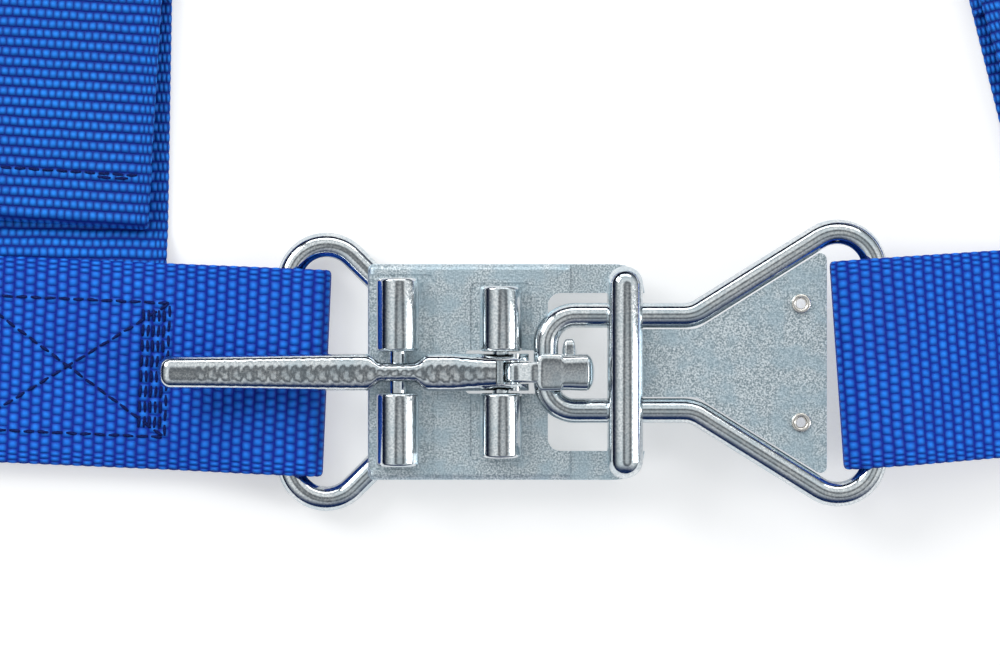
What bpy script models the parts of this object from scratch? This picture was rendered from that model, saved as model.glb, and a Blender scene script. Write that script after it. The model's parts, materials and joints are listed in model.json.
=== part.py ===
"""Latch-and-link racing harness, laid flat as it is sold.

A lever latch and a wire link join two lap belts. Each lap belt carries a shoulder strap with a
slide adjuster, and the spare webbing is folded into flat hanks that end in bolt-in anchor plates.
Metres, +Z up. X runs along the lap belts, Y towards the shoulders, and Z = 0 is the table.
"""

import math

import bmesh
import bpy
import numpy as np
from mathutils import Matrix, Vector

MM = 0.001

# Fits
GAP = 0.3 * MM
SEAM = 0.1 * MM
ARC_STEP = math.radians(22.5)

# Webbing
WEB_WIDTH = 50.0 * MM
WEB_THICK = 1.8 * MM
HANK_GAP = 0.6 * MM
HANK_LEAD = 4.0 * MM
BEND_RADIUS = 4.0 * MM
SLOPE_RADIUS = 6.0 * MM
BAR_LEAD = 7.0 * MM
JOIN_LEAD = 8.0 * MM
JOIN_MARGIN = 2.0 * MM

# Wire and sheet of the buckle
WIRE_DIA = 6.0 * MM
PLATE_THICK = 2.4 * MM
PLATE_LEFT = -33.0 * MM
PLATE_WIDTH = 52.0 * MM
FLANGE_THICK = 1.8 * MM
WINDOW_LEFT = 10.3 * MM
WINDOW_WIDTH = 38.0 * MM
LEVER_SLOT_WIDTH = 10.4 * MM
LEVER_SLOT_LEFT = -9.5 * MM
BRIDGE_LEFT = 23.6 * MM
BRIDGE_LENGTH = 10.0 * MM
BRIDGE_BEAD_DIA = 8.2 * MM
BRIDGE_BEAD_SPAN = 48.0 * MM
BRIDGE_INSET = 1.8 * MM
BRIDGE_HALF_SPAN = 23.0 * MM
BEAD_SINK = 0.4 * MM
PANEL_RIGHT = 15.6 * MM
RAIL_STEP = 0.8 * MM
PLATE_EDGE_RADIUS = 1.4 * MM
POCKET_DEPTH = 0.5 * MM
POCKET_MARGIN = 1.5 * MM
POCKET_CORNER_RADIUS = 1.5 * MM
REST_POCKET_RIGHT = -17.0 * MM
NOSE_POCKET_HALF = 7.4 * MM
TONGUE_PLAY = 0.5 * MM
KNUCKLE_DIA = 10.0 * MM
KNUCKLE_OUTER = 22.0 * MM
NOSE_KNUCKLE_OUTER = 20.0 * MM
PIN_DIA = 4.0 * MM
PIN_X = -1.0 * MM
REST_PIN_X = -25.7 * MM
PIN_END_WALL = 2.0 * MM
PLATE_CORNER_RADIUS = 1.5 * MM
BRIDGE_CORNER_RADIUS = 6.8 * MM
WINDOW_CORNER_RADIUS = 3.0 * MM
SLOT_CORNER_RADIUS = 1.0 * MM

# Lever and hook
LEVER_WIDTH = 8.9 * MM
LEVER_TIP_X = -83.0 * MM
LEVER_THICK = 7.0 * MM
LEVER_NOSE_RADIUS = 7.0 * MM
LEVER_NECK_WIDTH = 4.6 * MM
LEVER_HEEL_X = -13.0 * MM
LEVER_TIP_TAPER = 0.6 * MM
LEVER_TIP_RADIUS = 2.5 * MM
WAIST_HALF = 7.5 * MM
WAIST_OUTER_RADIUS = 3.0 * MM
WAIST_INNER_RADIUS = 2.0 * MM
FORK_WIDTH = 5.5 * MM
FORK_LEFT = -2.2 * MM
HOOK_PIN_DIA = 2.4 * MM
HOOK_EYE_RADIUS = 2.4 * MM
HOOK_PIN_ANGLE = math.radians(43.0)
HOOK_THICK = 2.4 * MM
HOOK_HEAD_LEFT = 7.0 * MM
HOOK_TIP_LENGTH = 8.0 * MM
HOOK_TIP_DROP = 6.1 * MM
HOOK_CORNER_RADIUS = 2.0 * MM
HOOK_EDGE_RADIUS = 0.7 * MM
HOOK_LUG_LENGTH = 3.8 * MM
HOOK_LUG_HEIGHT = 4.0 * MM
HOOK_LUG_REACH = 8.0 * MM

# Strap loop and link, measured along the buckle
LOOP_BAR_X = -52.2 * MM
LOOP_BEND_X = -29.7 * MM
LOOP_LEG_END_X = -17.0 * MM
FLANGE_LEFT = -24.5 * MM
EAR_RADIUS = 9.0 * MM
LOOP_BEND_RADIUS = 5.0 * MM
LINK_BAR_X = 9.8 * MM
LINK_LEG_Y = 11.4 * MM
LINK_FLARE_X = 45.0 * MM
LINK_STRAP_X = 88.6 * MM
LINK_FLARE_ANGLE = math.radians(32.0)
LINK_BEND_RADIUS = 7.0 * MM
LINK_FLARE_RADIUS = 8.0 * MM
LINK_OFFSET_Y = 2.2 * MM
LINK_PLATE_LEFT = 25.0 * MM
LINK_PLATE_RIGHT = 77.0 * MM
LINK_PLATE_THICK = 2.0 * MM
RIVET_X = 70.8 * MM
RIVET_SPACING = 28.4 * MM
RIVET_HEAD_DIA = 4.8 * MM
RIVET_HOLE_DIA = 2.4 * MM
RIVET_SHANK_DIA = 3.6 * MM
RIVET_HEAD_THICK = 0.8 * MM

# Belts: places are measured along each belt, from its bar or from the lap belt's middle
LOOP_SLACK = 4.2 * MM
LEFT_LAP_TURN = 177.5
RIGHT_LAP_TURN = 4.0
LEFT_JOIN_START = 27.0 * MM
LEFT_JOIN_END = 85.0 * MM
RIGHT_JOIN_START = 41.0 * MM
RIGHT_JOIN_END = 107.0 * MM
LEFT_HANK_START = 100.0 * MM
RIGHT_HANK_START = 122.0 * MM
LAP_HANK_LENGTH = 84.0 * MM
LAP_HANK_RUNS = 5
LEFT_SHOULDER_X = -107.3 * MM
LEFT_SHOULDER_TURN = 89.0
LEFT_SHOULDER_DROP = 26.5 * MM
LEFT_TAIL_END = 34.2 * MM
RIGHT_SHOULDER_X = 159.1 * MM
RIGHT_SHOULDER_TURN = 104.0
RIGHT_SHOULDER_DROP = 31.0 * MM
RIGHT_TAIL_END = 40.0 * MM
SHOULDER_SEWN_START = -18.0 * MM
SHOULDER_RETURN_START = 88.0 * MM
TAIL_HEM = 15.0 * MM
TAIL_SKEW = 2.6
ADJUSTER_START = 117.0 * MM
ADJUSTER_BAR = 6.0 * MM
ADJUSTER_SLOT = 9.0 * MM
ADJUSTER_THICK = 3.0 * MM
ADJUSTER_RAIL = 6.0 * MM
ADJUSTER_CORNER_RADIUS = 4.0 * MM
SLOT_SIDE_PLAY = 1.5 * MM
SLOT_END_RADIUS = 1.5 * MM
SLOT_ENTRY = 1.0 * MM
SLOT_EXIT = 2.0 * MM
SLOT_BEND_RADIUS = 3.0 * MM
SLOT_TURN_RADIUS = 2.0 * MM
STRAP_DROP_LENGTH = 6.0 * MM
STRAP_BAR_LEAD = 1.0 * MM
STRAP_RETURN_SLOPE = 10.0 * MM
TAIL_BAR_LEAD = 5.0 * MM
TAIL_SLOPE = 12.0 * MM
SHOULDER_HANK_START = 174.0 * MM
SHOULDER_HANK_LENGTH = 84.0 * MM
SHOULDER_HANK_RUNS = 5

# Anchor plates
ANCHOR_THICK = 4.0 * MM
ANCHOR_BAR = 5.0 * MM
ANCHOR_SLOT = 9.0 * MM
ANCHOR_RAIL = 5.5 * MM
ANCHOR_CORNER_RADIUS = 2.0 * MM
ANCHOR_REACH = 44.0 * MM
ANCHOR_NOSE_RADIUS = 13.0 * MM
ANCHOR_HOLE_DIA = 11.0 * MM
ANCHOR_SHOULDER = 6.0 * MM
ANCHOR_LEAD = 42.0 * MM
ANCHOR_SLOPE = 12.0 * MM
ANCHOR_RETURN = 16.0 * MM

# Heights that follow from the sizes above
LOOP_Z = WEB_THICK + GAP + WIRE_DIA / 2
PLATE_TOP = LOOP_Z + WIRE_DIA / 2 + GAP + PLATE_THICK
PLATE_BOTTOM = PLATE_TOP - PLATE_THICK
LINK_Z = PLATE_TOP + GAP + WIRE_DIA / 2
PIN_Z = PLATE_TOP + 2 * GAP + PIN_DIA / 2
LEVER_TOP = PIN_Z + LEVER_NOSE_RADIUS
BRIDGE_BOTTOM = LINK_Z + WIRE_DIA / 2 + TONGUE_PLAY
HOOK_ARM = PIN_DIA / 2 + GAP + HOOK_EYE_RADIUS
HOOK_X = PIN_X + HOOK_ARM * math.cos(HOOK_PIN_ANGLE)
HOOK_Z = PIN_Z + HOOK_ARM * math.sin(HOOK_PIN_ANGLE)
LOOP_LEG_Y = PLATE_WIDTH / 2 - FLANGE_THICK - GAP - WIRE_DIA / 2
BRIDGE_RIGHT = BRIDGE_LEFT + BRIDGE_LENGTH
LAYER = WEB_THICK + GAP
TABLE_LAYER_Z = WEB_THICK / 2
HANK_PITCH = WEB_THICK + HANK_GAP
BELT_LOOP_RADIUS = WIRE_DIA / 2 + GAP + WEB_THICK / 2
ANCHOR_LOOP_RADIUS = math.hypot(ANCHOR_THICK / 2, ANCHOR_BAR / 2) + GAP + WEB_THICK / 2
ADJUSTER_Z = WEB_THICK + GAP + ADJUSTER_THICK / 2
ADJUSTER_MIDDLE = ADJUSTER_START + 1.5 * ADJUSTER_BAR + ADJUSTER_SLOT
ADJUSTER_END = ADJUSTER_START + 3 * ADJUSTER_BAR + 2 * ADJUSTER_SLOT
ADJUSTER_LOOP_RADIUS = ADJUSTER_THICK / 2 + GAP + WEB_THICK / 2
SLOT_HALF = WEB_WIDTH / 2 + SLOT_SIDE_PLAY


def clear_scene():
    """Remove every object, so that the harness stands alone."""
    for obj in list(bpy.data.objects):
        bpy.data.objects.remove(obj)


def make_material(name, colour, roughness, metallic):
    """A plain surface with one colour, roughness and metallic value."""
    material = bpy.data.materials.new(name)
    material.use_nodes = True
    shader = material.node_tree.nodes["Principled BSDF"]
    shader.inputs["Base Color"].default_value = (*colour, 1.0)
    shader.inputs["Roughness"].default_value = roughness
    shader.inputs["Metallic"].default_value = metallic
    material.diffuse_color = (*colour, 1.0)
    return material


def new_object(name, mesh):
    """Put a mesh in the scene as a named object."""
    obj = bpy.data.objects.new(name, mesh)
    bpy.context.scene.collection.objects.link(obj)
    return obj


def closed_mesh(name, mesh):
    """Weld a mesh's loose edges and turn its faces outwards."""
    work = bmesh.new()
    work.from_mesh(mesh)
    bmesh.ops.remove_doubles(work, verts=work.verts, dist=0.002 * MM)
    bmesh.ops.recalc_face_normals(work, faces=work.faces)
    work.to_mesh(mesh)
    work.free()
    mesh.name = name
    return mesh


def mesh_from_curve(name, curve, matrix):
    """Turn a filled curve into a closed mesh object placed by a matrix."""
    holder = new_object(name + "_curve", curve)
    bpy.context.view_layer.update()
    depsgraph = bpy.context.evaluated_depsgraph_get()
    mesh = bpy.data.meshes.new_from_object(holder.evaluated_get(depsgraph))
    bpy.data.objects.remove(holder)
    mesh.transform(matrix)
    return new_object(name, closed_mesh(name, mesh))


def add_spline(curve, points, cyclic):
    """Add straight pieces through points to a curve."""
    spline = curve.splines.new("POLY")
    spline.points.add(len(points) - 1)
    for slot, point in zip(spline.points, points):
        slot.co = (*point, *([0.0] * (3 - len(point))), 1.0)
    spline.use_cyclic_u = cyclic


def extrude_outline(name, outlines, depth, matrix):
    """A flat outline, with any holes after it, given a depth evenly about its plane."""
    curve = bpy.data.curves.new(name, "CURVE")
    curve.dimensions = "2D"
    curve.fill_mode = "BOTH"
    curve.extrude = depth / 2
    for outline in outlines:
        add_spline(curve, outline, True)
    return mesh_from_curve(name, curve, matrix)


def stand_outline(name, outline, low, high):
    """A flat outline that stands from one height to another."""
    return extrude_outline(name, [outline], high - low, flat((0.0, 0.0, (low + high) / 2), 0.0))


def bend_wire(name, points, diameter, cyclic):
    """A round wire along points."""
    curve = bpy.data.curves.new(name, "CURVE")
    curve.dimensions = "3D"
    curve.bevel_depth = diameter / 2
    curve.bevel_resolution = 3
    curve.use_fill_caps = True
    add_spline(curve, points, cyclic)
    return mesh_from_curve(name, curve, Matrix.Identity(4))


def add_box(name, low, high):
    """A box between two corners."""
    mesh = bpy.data.meshes.new(name)
    work = bmesh.new()
    size = Vector(high) - Vector(low)
    middle = (Vector(high) + Vector(low)) / 2
    bmesh.ops.create_cube(work, matrix=Matrix.Translation(middle) @ Matrix.Diagonal((*size, 1.0)))
    work.to_mesh(mesh)
    work.free()
    return new_object(name, mesh)


def add_rod(name, start, end, diameter, sides=24):
    """A cylinder between two points."""
    mesh = bpy.data.meshes.new(name)
    work = bmesh.new()
    span = Vector(end) - Vector(start)
    turn = span.to_track_quat("Z", "Y").to_matrix().to_4x4()
    place = Matrix.Translation((Vector(start) + Vector(end)) / 2) @ turn
    bmesh.ops.create_cone(
        work, cap_ends=True, segments=sides, radius1=diameter / 2, radius2=diameter / 2,
        depth=span.length, matrix=place,
    )
    work.to_mesh(mesh)
    work.free()
    return new_object(name, mesh)


def combine(obj, other, operation):
    """Join another object to this one, or cut it away, and remove it."""
    change = obj.modifiers.new(operation.lower(), "BOOLEAN")
    change.operation = operation
    change.solver = "EXACT"
    change.object = other
    bpy.context.view_layer.update()
    depsgraph = bpy.context.evaluated_depsgraph_get()
    mesh = bpy.data.meshes.new_from_object(obj.evaluated_get(depsgraph))
    obj.modifiers.remove(change)
    obj.data = closed_mesh(obj.name, mesh)
    bpy.data.objects.remove(other)


def arc(centre, radius, start, end, steps):
    """Points on a circle from one angle to another, in degrees."""
    angles = np.radians(np.linspace(start, end, steps + 1))
    return [(centre[0] + radius * math.cos(a), centre[1] + radius * math.sin(a)) for a in angles]


def rounded_path(corners):
    """A path through corners (x, y, radius), with an arc of that radius at each."""
    path = [corners[0][:2]]
    for before, corner, after in zip(corners, corners[1:], corners[2:]):
        point = Vector(corner[:2])
        inward = (Vector(before[:2]) - point).normalized()
        outward = (Vector(after[:2]) - point).normalized()
        half = inward.angle(outward) / 2
        radius = corner[2]
        if radius <= 0 or half > math.radians(89.0):
            path.append(tuple(point))
            continue
        centre = point + (inward + outward).normalized() * (radius / math.sin(half))
        first = point + inward * (radius / math.tan(half)) - centre
        sweep = first.angle_signed(point + outward * (radius / math.tan(half)) - centre)
        steps = max(2, math.ceil(abs(sweep) / ARC_STEP))
        for step in range(steps + 1):
            turned = first.copy()
            turned.rotate(Matrix.Rotation(-sweep * step / steps, 2))
            path.append(tuple(centre + turned))
    path.append(corners[-1][:2])
    return path


def band_outline(path, thickness):
    """The closed outline of a band of even thickness along a path."""
    line = np.array([p for i, p in enumerate(path) if i == 0 or math.dist(p, path[i - 1]) > 1e-6])
    along = np.diff(line, axis=0)
    along /= np.linalg.norm(along, axis=1)[:, None]
    square = np.stack([-along[:, 1], along[:, 0]], axis=1)
    mitre = np.vstack([square[:1], square[:-1] + square[1:], square[-1:]])
    mitre /= np.linalg.norm(mitre, axis=1)[:, None]
    reach = np.sum(mitre * np.vstack([square[:1], square]), axis=1)
    offset = mitre / reach[:, None] * (thickness / 2)
    return [tuple(p) for p in np.vstack([line + offset, (line - offset)[::-1]])]


def upright(origin, turn):
    """A frame whose first axis heads along a belt, and whose second axis points up."""
    heading = Matrix.Rotation(math.radians(turn), 4, "Z")
    return Matrix.Translation(origin) @ heading @ Matrix.Rotation(math.pi / 2, 4, "X")


def flat(origin, turn):
    """A frame that lies flat, with its first axis heading along a belt."""
    return Matrix.Translation(origin) @ Matrix.Rotation(math.radians(turn), 4, "Z")


SIDE_VIEW = upright((0.0, 0.0, 0.0), 0.0)


def rounded_outline(corners):
    """A closed outline through corners (x, y, radius)."""
    return rounded_path([corners[-1], *corners, corners[0]])[1:-1]


def circle(centre, diameter, sides=24):
    """A closed circle of points."""
    return arc(centre, diameter / 2, 0.0, 360.0, sides)[:-1]


def mirrored(corners):
    """Corners of one half, followed by the same corners on the other side in return order."""
    return [*corners, *[(x, -y, radius) for x, y, radius in reversed(corners)]]


def round_top(obj, height, width):
    """Round the edges of an object's top face."""
    work = bmesh.new()
    work.from_mesh(obj.data)
    edges = [edge for edge in work.edges
             if all(abs(v.co.z - height) < SEAM / 10 for v in edge.verts) and edge.calc_face_angle(0.0) > 1.0]
    bmesh.ops.bevel(work, geom=edges, offset=width, segments=3, profile=0.5, affect="EDGES")
    work.to_mesh(obj.data)
    work.free()


def make_latch_plate():
    """Stamped latch base: flanged plate, four pin knuckles in pockets and a beaded bridge over the link."""
    half = PLATE_WIDTH / 2
    lip = WINDOW_WIDTH / 2
    slot = LEVER_SLOT_WIDTH / 2
    corners = mirrored([(PLATE_LEFT, half, PLATE_CORNER_RADIUS), (BRIDGE_RIGHT, half, BRIDGE_CORNER_RADIUS)])
    plate = stand_outline("latch_plate", rounded_outline(corners), PLATE_BOTTOM, PLATE_TOP)
    round_top(plate, PLATE_TOP, PLATE_EDGE_RADIUS)
    step = add_box("step", (PANEL_RIGHT, -PLATE_WIDTH, PLATE_TOP - RAIL_STEP),
                   (2 * BRIDGE_RIGHT, PLATE_WIDTH, 2 * PLATE_TOP))
    combine(plate, step, "DIFFERENCE")
    pockets = ((2 * PLATE_LEFT, REST_POCKET_RIGHT, KNUCKLE_OUTER + POCKET_MARGIN),
               (PIN_X - NOSE_POCKET_HALF, PIN_X + NOSE_POCKET_HALF, NOSE_KNUCKLE_OUTER + POCKET_MARGIN))
    for left, right, outer in pockets:
        corners = mirrored([(left, outer, POCKET_CORNER_RADIUS), (right, outer, POCKET_CORNER_RADIUS)])
        pocket = stand_outline("pocket", rounded_outline(corners), PLATE_TOP - POCKET_DEPTH, 2 * PLATE_TOP)
        combine(plate, pocket, "DIFFERENCE")
    for side in (-1, 1):
        rail = sorted((side * (half - SEAM), side * (half - FLANGE_THICK)))
        flange = add_box("flange", (FLANGE_LEFT, rail[0], 0.0),
                         (BRIDGE_RIGHT - BRIDGE_CORNER_RADIUS, rail[1], PLATE_BOTTOM + PLATE_THICK / 4))
        combine(plate, flange, "UNION")
        for x, inner, outer in ((REST_PIN_X, slot, KNUCKLE_OUTER), (PIN_X, slot / 2, NOSE_KNUCKLE_OUTER)):
            knuckle = add_rod("knuckle", (x, side * inner, PIN_Z), (x, side * outer, PIN_Z), KNUCKLE_DIA)
            below = add_box("below", (x - KNUCKLE_DIA, -half, 0.0),
                            (x + KNUCKLE_DIA, half, PLATE_BOTTOM + PLATE_THICK / 3))
            combine(knuckle, below, "DIFFERENCE")
            combine(plate, knuckle, "UNION")
    base = PLATE_BOTTOM + PLATE_THICK / 3
    bridge = add_box("bridge", (BRIDGE_LEFT + BRIDGE_INSET, -BRIDGE_HALF_SPAN, base),
                     (BRIDGE_RIGHT - BRIDGE_INSET, BRIDGE_HALF_SPAN, BRIDGE_BOTTOM + PLATE_THICK))
    combine(plate, bridge, "UNION")
    corners = mirrored([(WINDOW_LEFT, lip, WINDOW_CORNER_RADIUS), (2 * BRIDGE_RIGHT, lip, 0.0)])
    combine(plate, stand_outline("window", rounded_outline(corners), -GAP, BRIDGE_BOTTOM), "DIFFERENCE")
    mouth = WINDOW_LEFT + KNUCKLE_DIA / 2
    corners = mirrored([(LEVER_SLOT_LEFT, slot, SLOT_CORNER_RADIUS), (mouth, slot, 0.0)])
    combine(plate, stand_outline("slot", rounded_outline(corners), -GAP, 2 * LEVER_TOP), "DIFFERENCE")
    combine(plate, make_bead(), "UNION")
    for x, outer in ((REST_PIN_X, KNUCKLE_OUTER), (PIN_X, NOSE_KNUCKLE_OUTER)):
        reach = outer - PIN_END_WALL + GAP
        bore = add_rod("bore", (x, -reach, PIN_Z), (x, reach, PIN_Z), PIN_DIA + 2 * GAP)
        combine(plate, bore, "DIFFERENCE")
    return plate


def make_bead():
    """The round bead across the bridge, with ball ends."""
    x = (BRIDGE_LEFT + BRIDGE_RIGHT) / 2
    z = BRIDGE_BOTTOM + PLATE_THICK - BEAD_SINK
    radius = BRIDGE_BEAD_DIA / 2
    end = BRIDGE_BEAD_SPAN / 2 - radius
    half_turn = arc((end, 0.0), radius, 90.0, 0.0, 6)
    profile = [(-y, h) for y, h in reversed(half_turn)] + half_turn
    work = bmesh.new()
    points = [work.verts.new((x, y, z + h)) for y, h in profile]
    for first, second in zip(points, points[1:]):
        work.edges.new((first, second))
    bmesh.ops.spin(work, geom=work.verts[:] + work.edges[:], cent=(x, 0.0, z), axis=(0.0, 1.0, 0.0),
                   angle=2 * math.pi, steps=20, use_merge=True)
    bead = bpy.data.meshes.new("bead")
    work.to_mesh(bead)
    work.free()
    bead = new_object("bead", closed_mesh("bead", bead))
    for reach, top in ((PLATE_WIDTH, PLATE_TOP), (WINDOW_WIDTH / 2 + SEAM, BRIDGE_BOTTOM + PLATE_THICK / 2)):
        under = add_box("under_bead", (0.0, -reach, 0.0), (2 * BRIDGE_RIGHT, reach, top))
        combine(bead, under, "DIFFERENCE")
    return bead


def make_strap_loop():
    """The wire loop that holds the left lap belt, with its legs under the latch plate."""
    ear = LOOP_LEG_Y + (LOOP_BEND_X - LOOP_BAR_X)
    corners = mirrored([(LOOP_LEG_END_X, LOOP_LEG_Y, 0.0), (LOOP_BEND_X, LOOP_LEG_Y, LOOP_BEND_RADIUS),
                        (LOOP_BAR_X, ear, EAR_RADIUS)])
    points = [(x, y, LOOP_Z) for x, y in rounded_path(corners)]
    return bend_wire("strap_loop", points, WIRE_DIA, False)


def make_pin(name, x, outer):
    """A hinge pin that lies in a pair of knuckles."""
    reach = outer - PIN_END_WALL
    return add_rod(name, (x, -reach, PIN_Z), (x, reach, PIN_Z), PIN_DIA)


def make_lever():
    """Forged lever: a bar with a waist over the rest pin, a groove for it and a forked nose."""
    bottom = LEVER_TOP - LEVER_THICK
    nose = arc((PIN_X, PIN_Z), LEVER_NOSE_RADIUS, 90.0, -150.0, 20)
    tip = arc((LEVER_TIP_X + LEVER_THICK / 2, LEVER_TOP - LEVER_THICK / 2), LEVER_THICK / 2, 270.0, 90.0, 8)
    lever = extrude_outline("latch_lever", [[*nose, (LEVER_HEEL_X, bottom), *tip]], LEVER_WIDTH, SIDE_VIEW)
    wide = LEVER_WIDTH / 2
    waist = LEVER_NECK_WIDTH / 2
    plan = rounded_outline(mirrored([
        (LEVER_TIP_X, wide - LEVER_TIP_TAPER, LEVER_TIP_RADIUS),
        (REST_PIN_X - WAIST_HALF, wide, WAIST_OUTER_RADIUS),
        (REST_PIN_X - WAIST_HALF / 2, waist, WAIST_INNER_RADIUS),
        (REST_PIN_X + WAIST_HALF / 2, waist, WAIST_INNER_RADIUS),
        (REST_PIN_X + WAIST_HALF, wide, WAIST_OUTER_RADIUS),
        (PIN_X + 2 * LEVER_NOSE_RADIUS, wide, 0.0),
    ]))
    trim = stand_outline("plan", plan, 0.0, 2 * LEVER_TOP)
    combine(lever, trim, "INTERSECT")
    across = LEVER_WIDTH
    holes = ((PIN_X, PIN_Z, PIN_DIA), (REST_PIN_X, PIN_Z, PIN_DIA), (HOOK_X, HOOK_Z, HOOK_PIN_DIA))
    for x, z, diameter in holes:
        hole = add_rod("hole", (x, -across, z), (x, across, z), diameter + 2 * GAP)
        combine(lever, hole, "DIFFERENCE")
    fork = add_box("fork", (FORK_LEFT, -FORK_WIDTH / 2, 0.0),
                   (PIN_X + 2 * LEVER_NOSE_RADIUS, FORK_WIDTH / 2, 2 * LEVER_TOP))
    combine(lever, fork, "DIFFERENCE")
    return lever


def make_hook():
    """The hook on the lever's nose: an eye, a neck and a broad head that drops behind the link."""
    top = LINK_Z + WIRE_DIA / 2 + TONGUE_PLAY + HOOK_THICK
    under = top - HOOK_THICK
    inner = LINK_BAR_X + WIRE_DIA / 2 + 2 * GAP
    outer = inner + HOOK_TIP_LENGTH
    tip = under - HOOK_TIP_DROP
    head = [(outer, top, HOOK_CORNER_RADIUS), (outer, tip, HOOK_CORNER_RADIUS),
            (inner, tip, HOOK_EDGE_RADIUS), (inner, under, HOOK_EDGE_RADIUS)]
    eye = [(*p, 0.0) for p in arc((HOOK_X, HOOK_Z), HOOK_EYE_RADIUS, 350.0, 90.0, 14)]
    neck = rounded_outline([(HOOK_HEAD_LEFT, top, HOOK_EDGE_RADIUS), *head,
                            (HOOK_HEAD_LEFT, under, HOOK_EDGE_RADIUS), *eye])
    hook = extrude_outline("latch_hook", [neck], FORK_WIDTH - 2 * GAP, SIDE_VIEW)
    block = rounded_outline([(HOOK_HEAD_LEFT, top, 0.0), *head, (HOOK_HEAD_LEFT, under, 0.0)])
    broad = extrude_outline("head", [block], LEVER_WIDTH, SIDE_VIEW)
    combine(hook, broad, "UNION")
    lug = add_box("lug", (inner + SEAM, 0.0, tip + SEAM),
                  (inner + HOOK_LUG_LENGTH, HOOK_LUG_REACH, tip + HOOK_LUG_HEIGHT))
    combine(hook, lug, "UNION")
    across = LEVER_WIDTH
    hole = add_rod("hole", (HOOK_X, -across, HOOK_Z), (HOOK_X, across, HOOK_Z), HOOK_PIN_DIA + 2 * GAP)
    combine(hook, hole, "DIFFERENCE")
    return hook


def link_corners(inset):
    """Corners of the link's upper half, drawn in by an inset from the wire's middle line."""
    slope = math.tan(LINK_FLARE_ANGLE)
    leg = LINK_LEG_Y - inset
    flare_x = LINK_FLARE_X + inset * math.tan(LINK_FLARE_ANGLE / 2)
    return leg, flare_x, lambda x: leg + (x - flare_x) * slope


def make_link_wire():
    """The link: one ring of wire, a narrow tongue that widens to a bar for the right lap belt."""
    leg, flare_x, edge = link_corners(0.0)
    corners = mirrored([(LINK_BAR_X, leg, LINK_BEND_RADIUS), (flare_x, leg, LINK_FLARE_RADIUS),
                        (LINK_STRAP_X, edge(LINK_STRAP_X), EAR_RADIUS)])
    points = [(x, y + LINK_OFFSET_Y, LINK_Z) for x, y in rounded_outline(corners)]
    return bend_wire("link_wire", points, WIRE_DIA, True)


def rivet_places():
    """Where the two rivets go through the link plate."""
    return [(RIVET_X, LINK_OFFSET_Y + side * RIVET_SPACING / 2) for side in (1, -1)]


def make_link_plate():
    """The sheet that fills the link between its wires."""
    leg, flare_x, edge = link_corners(WIRE_DIA / 2 + GAP)
    inner_bend = LINK_FLARE_RADIUS - WIRE_DIA / 2
    corners = mirrored([(LINK_PLATE_LEFT, leg, PLATE_CORNER_RADIUS), (flare_x, leg, inner_bend),
                        (LINK_PLATE_RIGHT, edge(LINK_PLATE_RIGHT), PLATE_CORNER_RADIUS)])
    outline = [(x, y + LINK_OFFSET_Y) for x, y in rounded_outline(corners)]
    holes = [circle(place, RIVET_SHANK_DIA + 2 * GAP, 16) for place in rivet_places()]
    return extrude_outline("link_plate", [outline, *holes], LINK_PLATE_THICK, flat((0.0, 0.0, LINK_Z), 0.0))


def make_rivet(name, place):
    """A tubular rivet with a flat head on each side of the link plate."""
    half = LINK_PLATE_THICK / 2 + GAP
    top = half + RIVET_HEAD_THICK
    rivet = add_rod(name, (*place, LINK_Z - top), (*place, LINK_Z + top), RIVET_SHANK_DIA, 16)
    for low in (-top, half):
        base = LINK_Z + low
        head = add_rod("head", (*place, base), (*place, base + RIVET_HEAD_THICK), RIVET_HEAD_DIA, 20)
        combine(rivet, head, "UNION")
    hole = add_rod("hole", (*place, LINK_Z - 2 * top), (*place, LINK_Z + 2 * top), RIVET_HOLE_DIA, 16)
    combine(rivet, hole, "DIFFERENCE")
    return rivet


def hank_corners(start, length, runs):
    """Corners of webbing folded to and fro down to the table, and then sewn round an anchor plate's bar."""
    height = TABLE_LAYER_Z + (runs - 1) * HANK_PITCH
    corners = [(start - HANK_LEAD, height, BEND_RADIUS)]
    for fold in range(runs - 1):
        end = start + length if fold % 2 == 0 else start
        corners += [(end, height, HANK_PITCH / 2), (end, height - HANK_PITCH, HANK_PITCH / 2)]
        height -= HANK_PITCH
    turn = start + length + ANCHOR_LEAD
    top = height + 2 * ANCHOR_LOOP_RADIUS
    slope = turn - 2 * ANCHOR_LOOP_RADIUS
    corners += [
        (turn, height, ANCHOR_LOOP_RADIUS), (turn, top, ANCHOR_LOOP_RADIUS), (slope, top, BEND_RADIUS),
        (slope - ANCHOR_SLOPE, height + LAYER, BEND_RADIUS),
        (slope - ANCHOR_SLOPE - ANCHOR_RETURN, height + LAYER, 0.0),
    ]
    return corners


def anchor_place(start, length):
    """Where the anchor plate's bar lies: its place along the belt and its height."""
    return start + length + ANCHOR_LEAD - ANCHOR_LOOP_RADIUS, TABLE_LAYER_Z + ANCHOR_LOOP_RADIUS


def make_lap_belt(name, frame, bar_z, join_start, join_end, hank_start):
    """A lap belt: sewn round its bar, doubled over the shoulder strap, and folded into a hank."""
    low = bar_z - BELT_LOOP_RADIUS
    high = bar_z + BELT_LOOP_RADIUS
    turn = -LOOP_SLACK - BELT_LOOP_RADIUS
    cover = TABLE_LAYER_Z + 2 * LAYER
    corners = [
        (join_end, TABLE_LAYER_Z, 0.0), (join_start - JOIN_LEAD, TABLE_LAYER_Z, SLOPE_RADIUS),
        (BAR_LEAD, low, SLOPE_RADIUS), (turn, low, BELT_LOOP_RADIUS), (turn, high, BELT_LOOP_RADIUS),
        (BAR_LEAD, high, SLOPE_RADIUS), (join_start, cover, SLOPE_RADIUS),
        (join_end + JOIN_MARGIN, cover, BEND_RADIUS),
        *hank_corners(hank_start, LAP_HANK_LENGTH, LAP_HANK_RUNS),
    ]
    return extrude_outline(name, [band_outline(rounded_path(corners), WEB_THICK)], WEB_WIDTH, frame)


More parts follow.
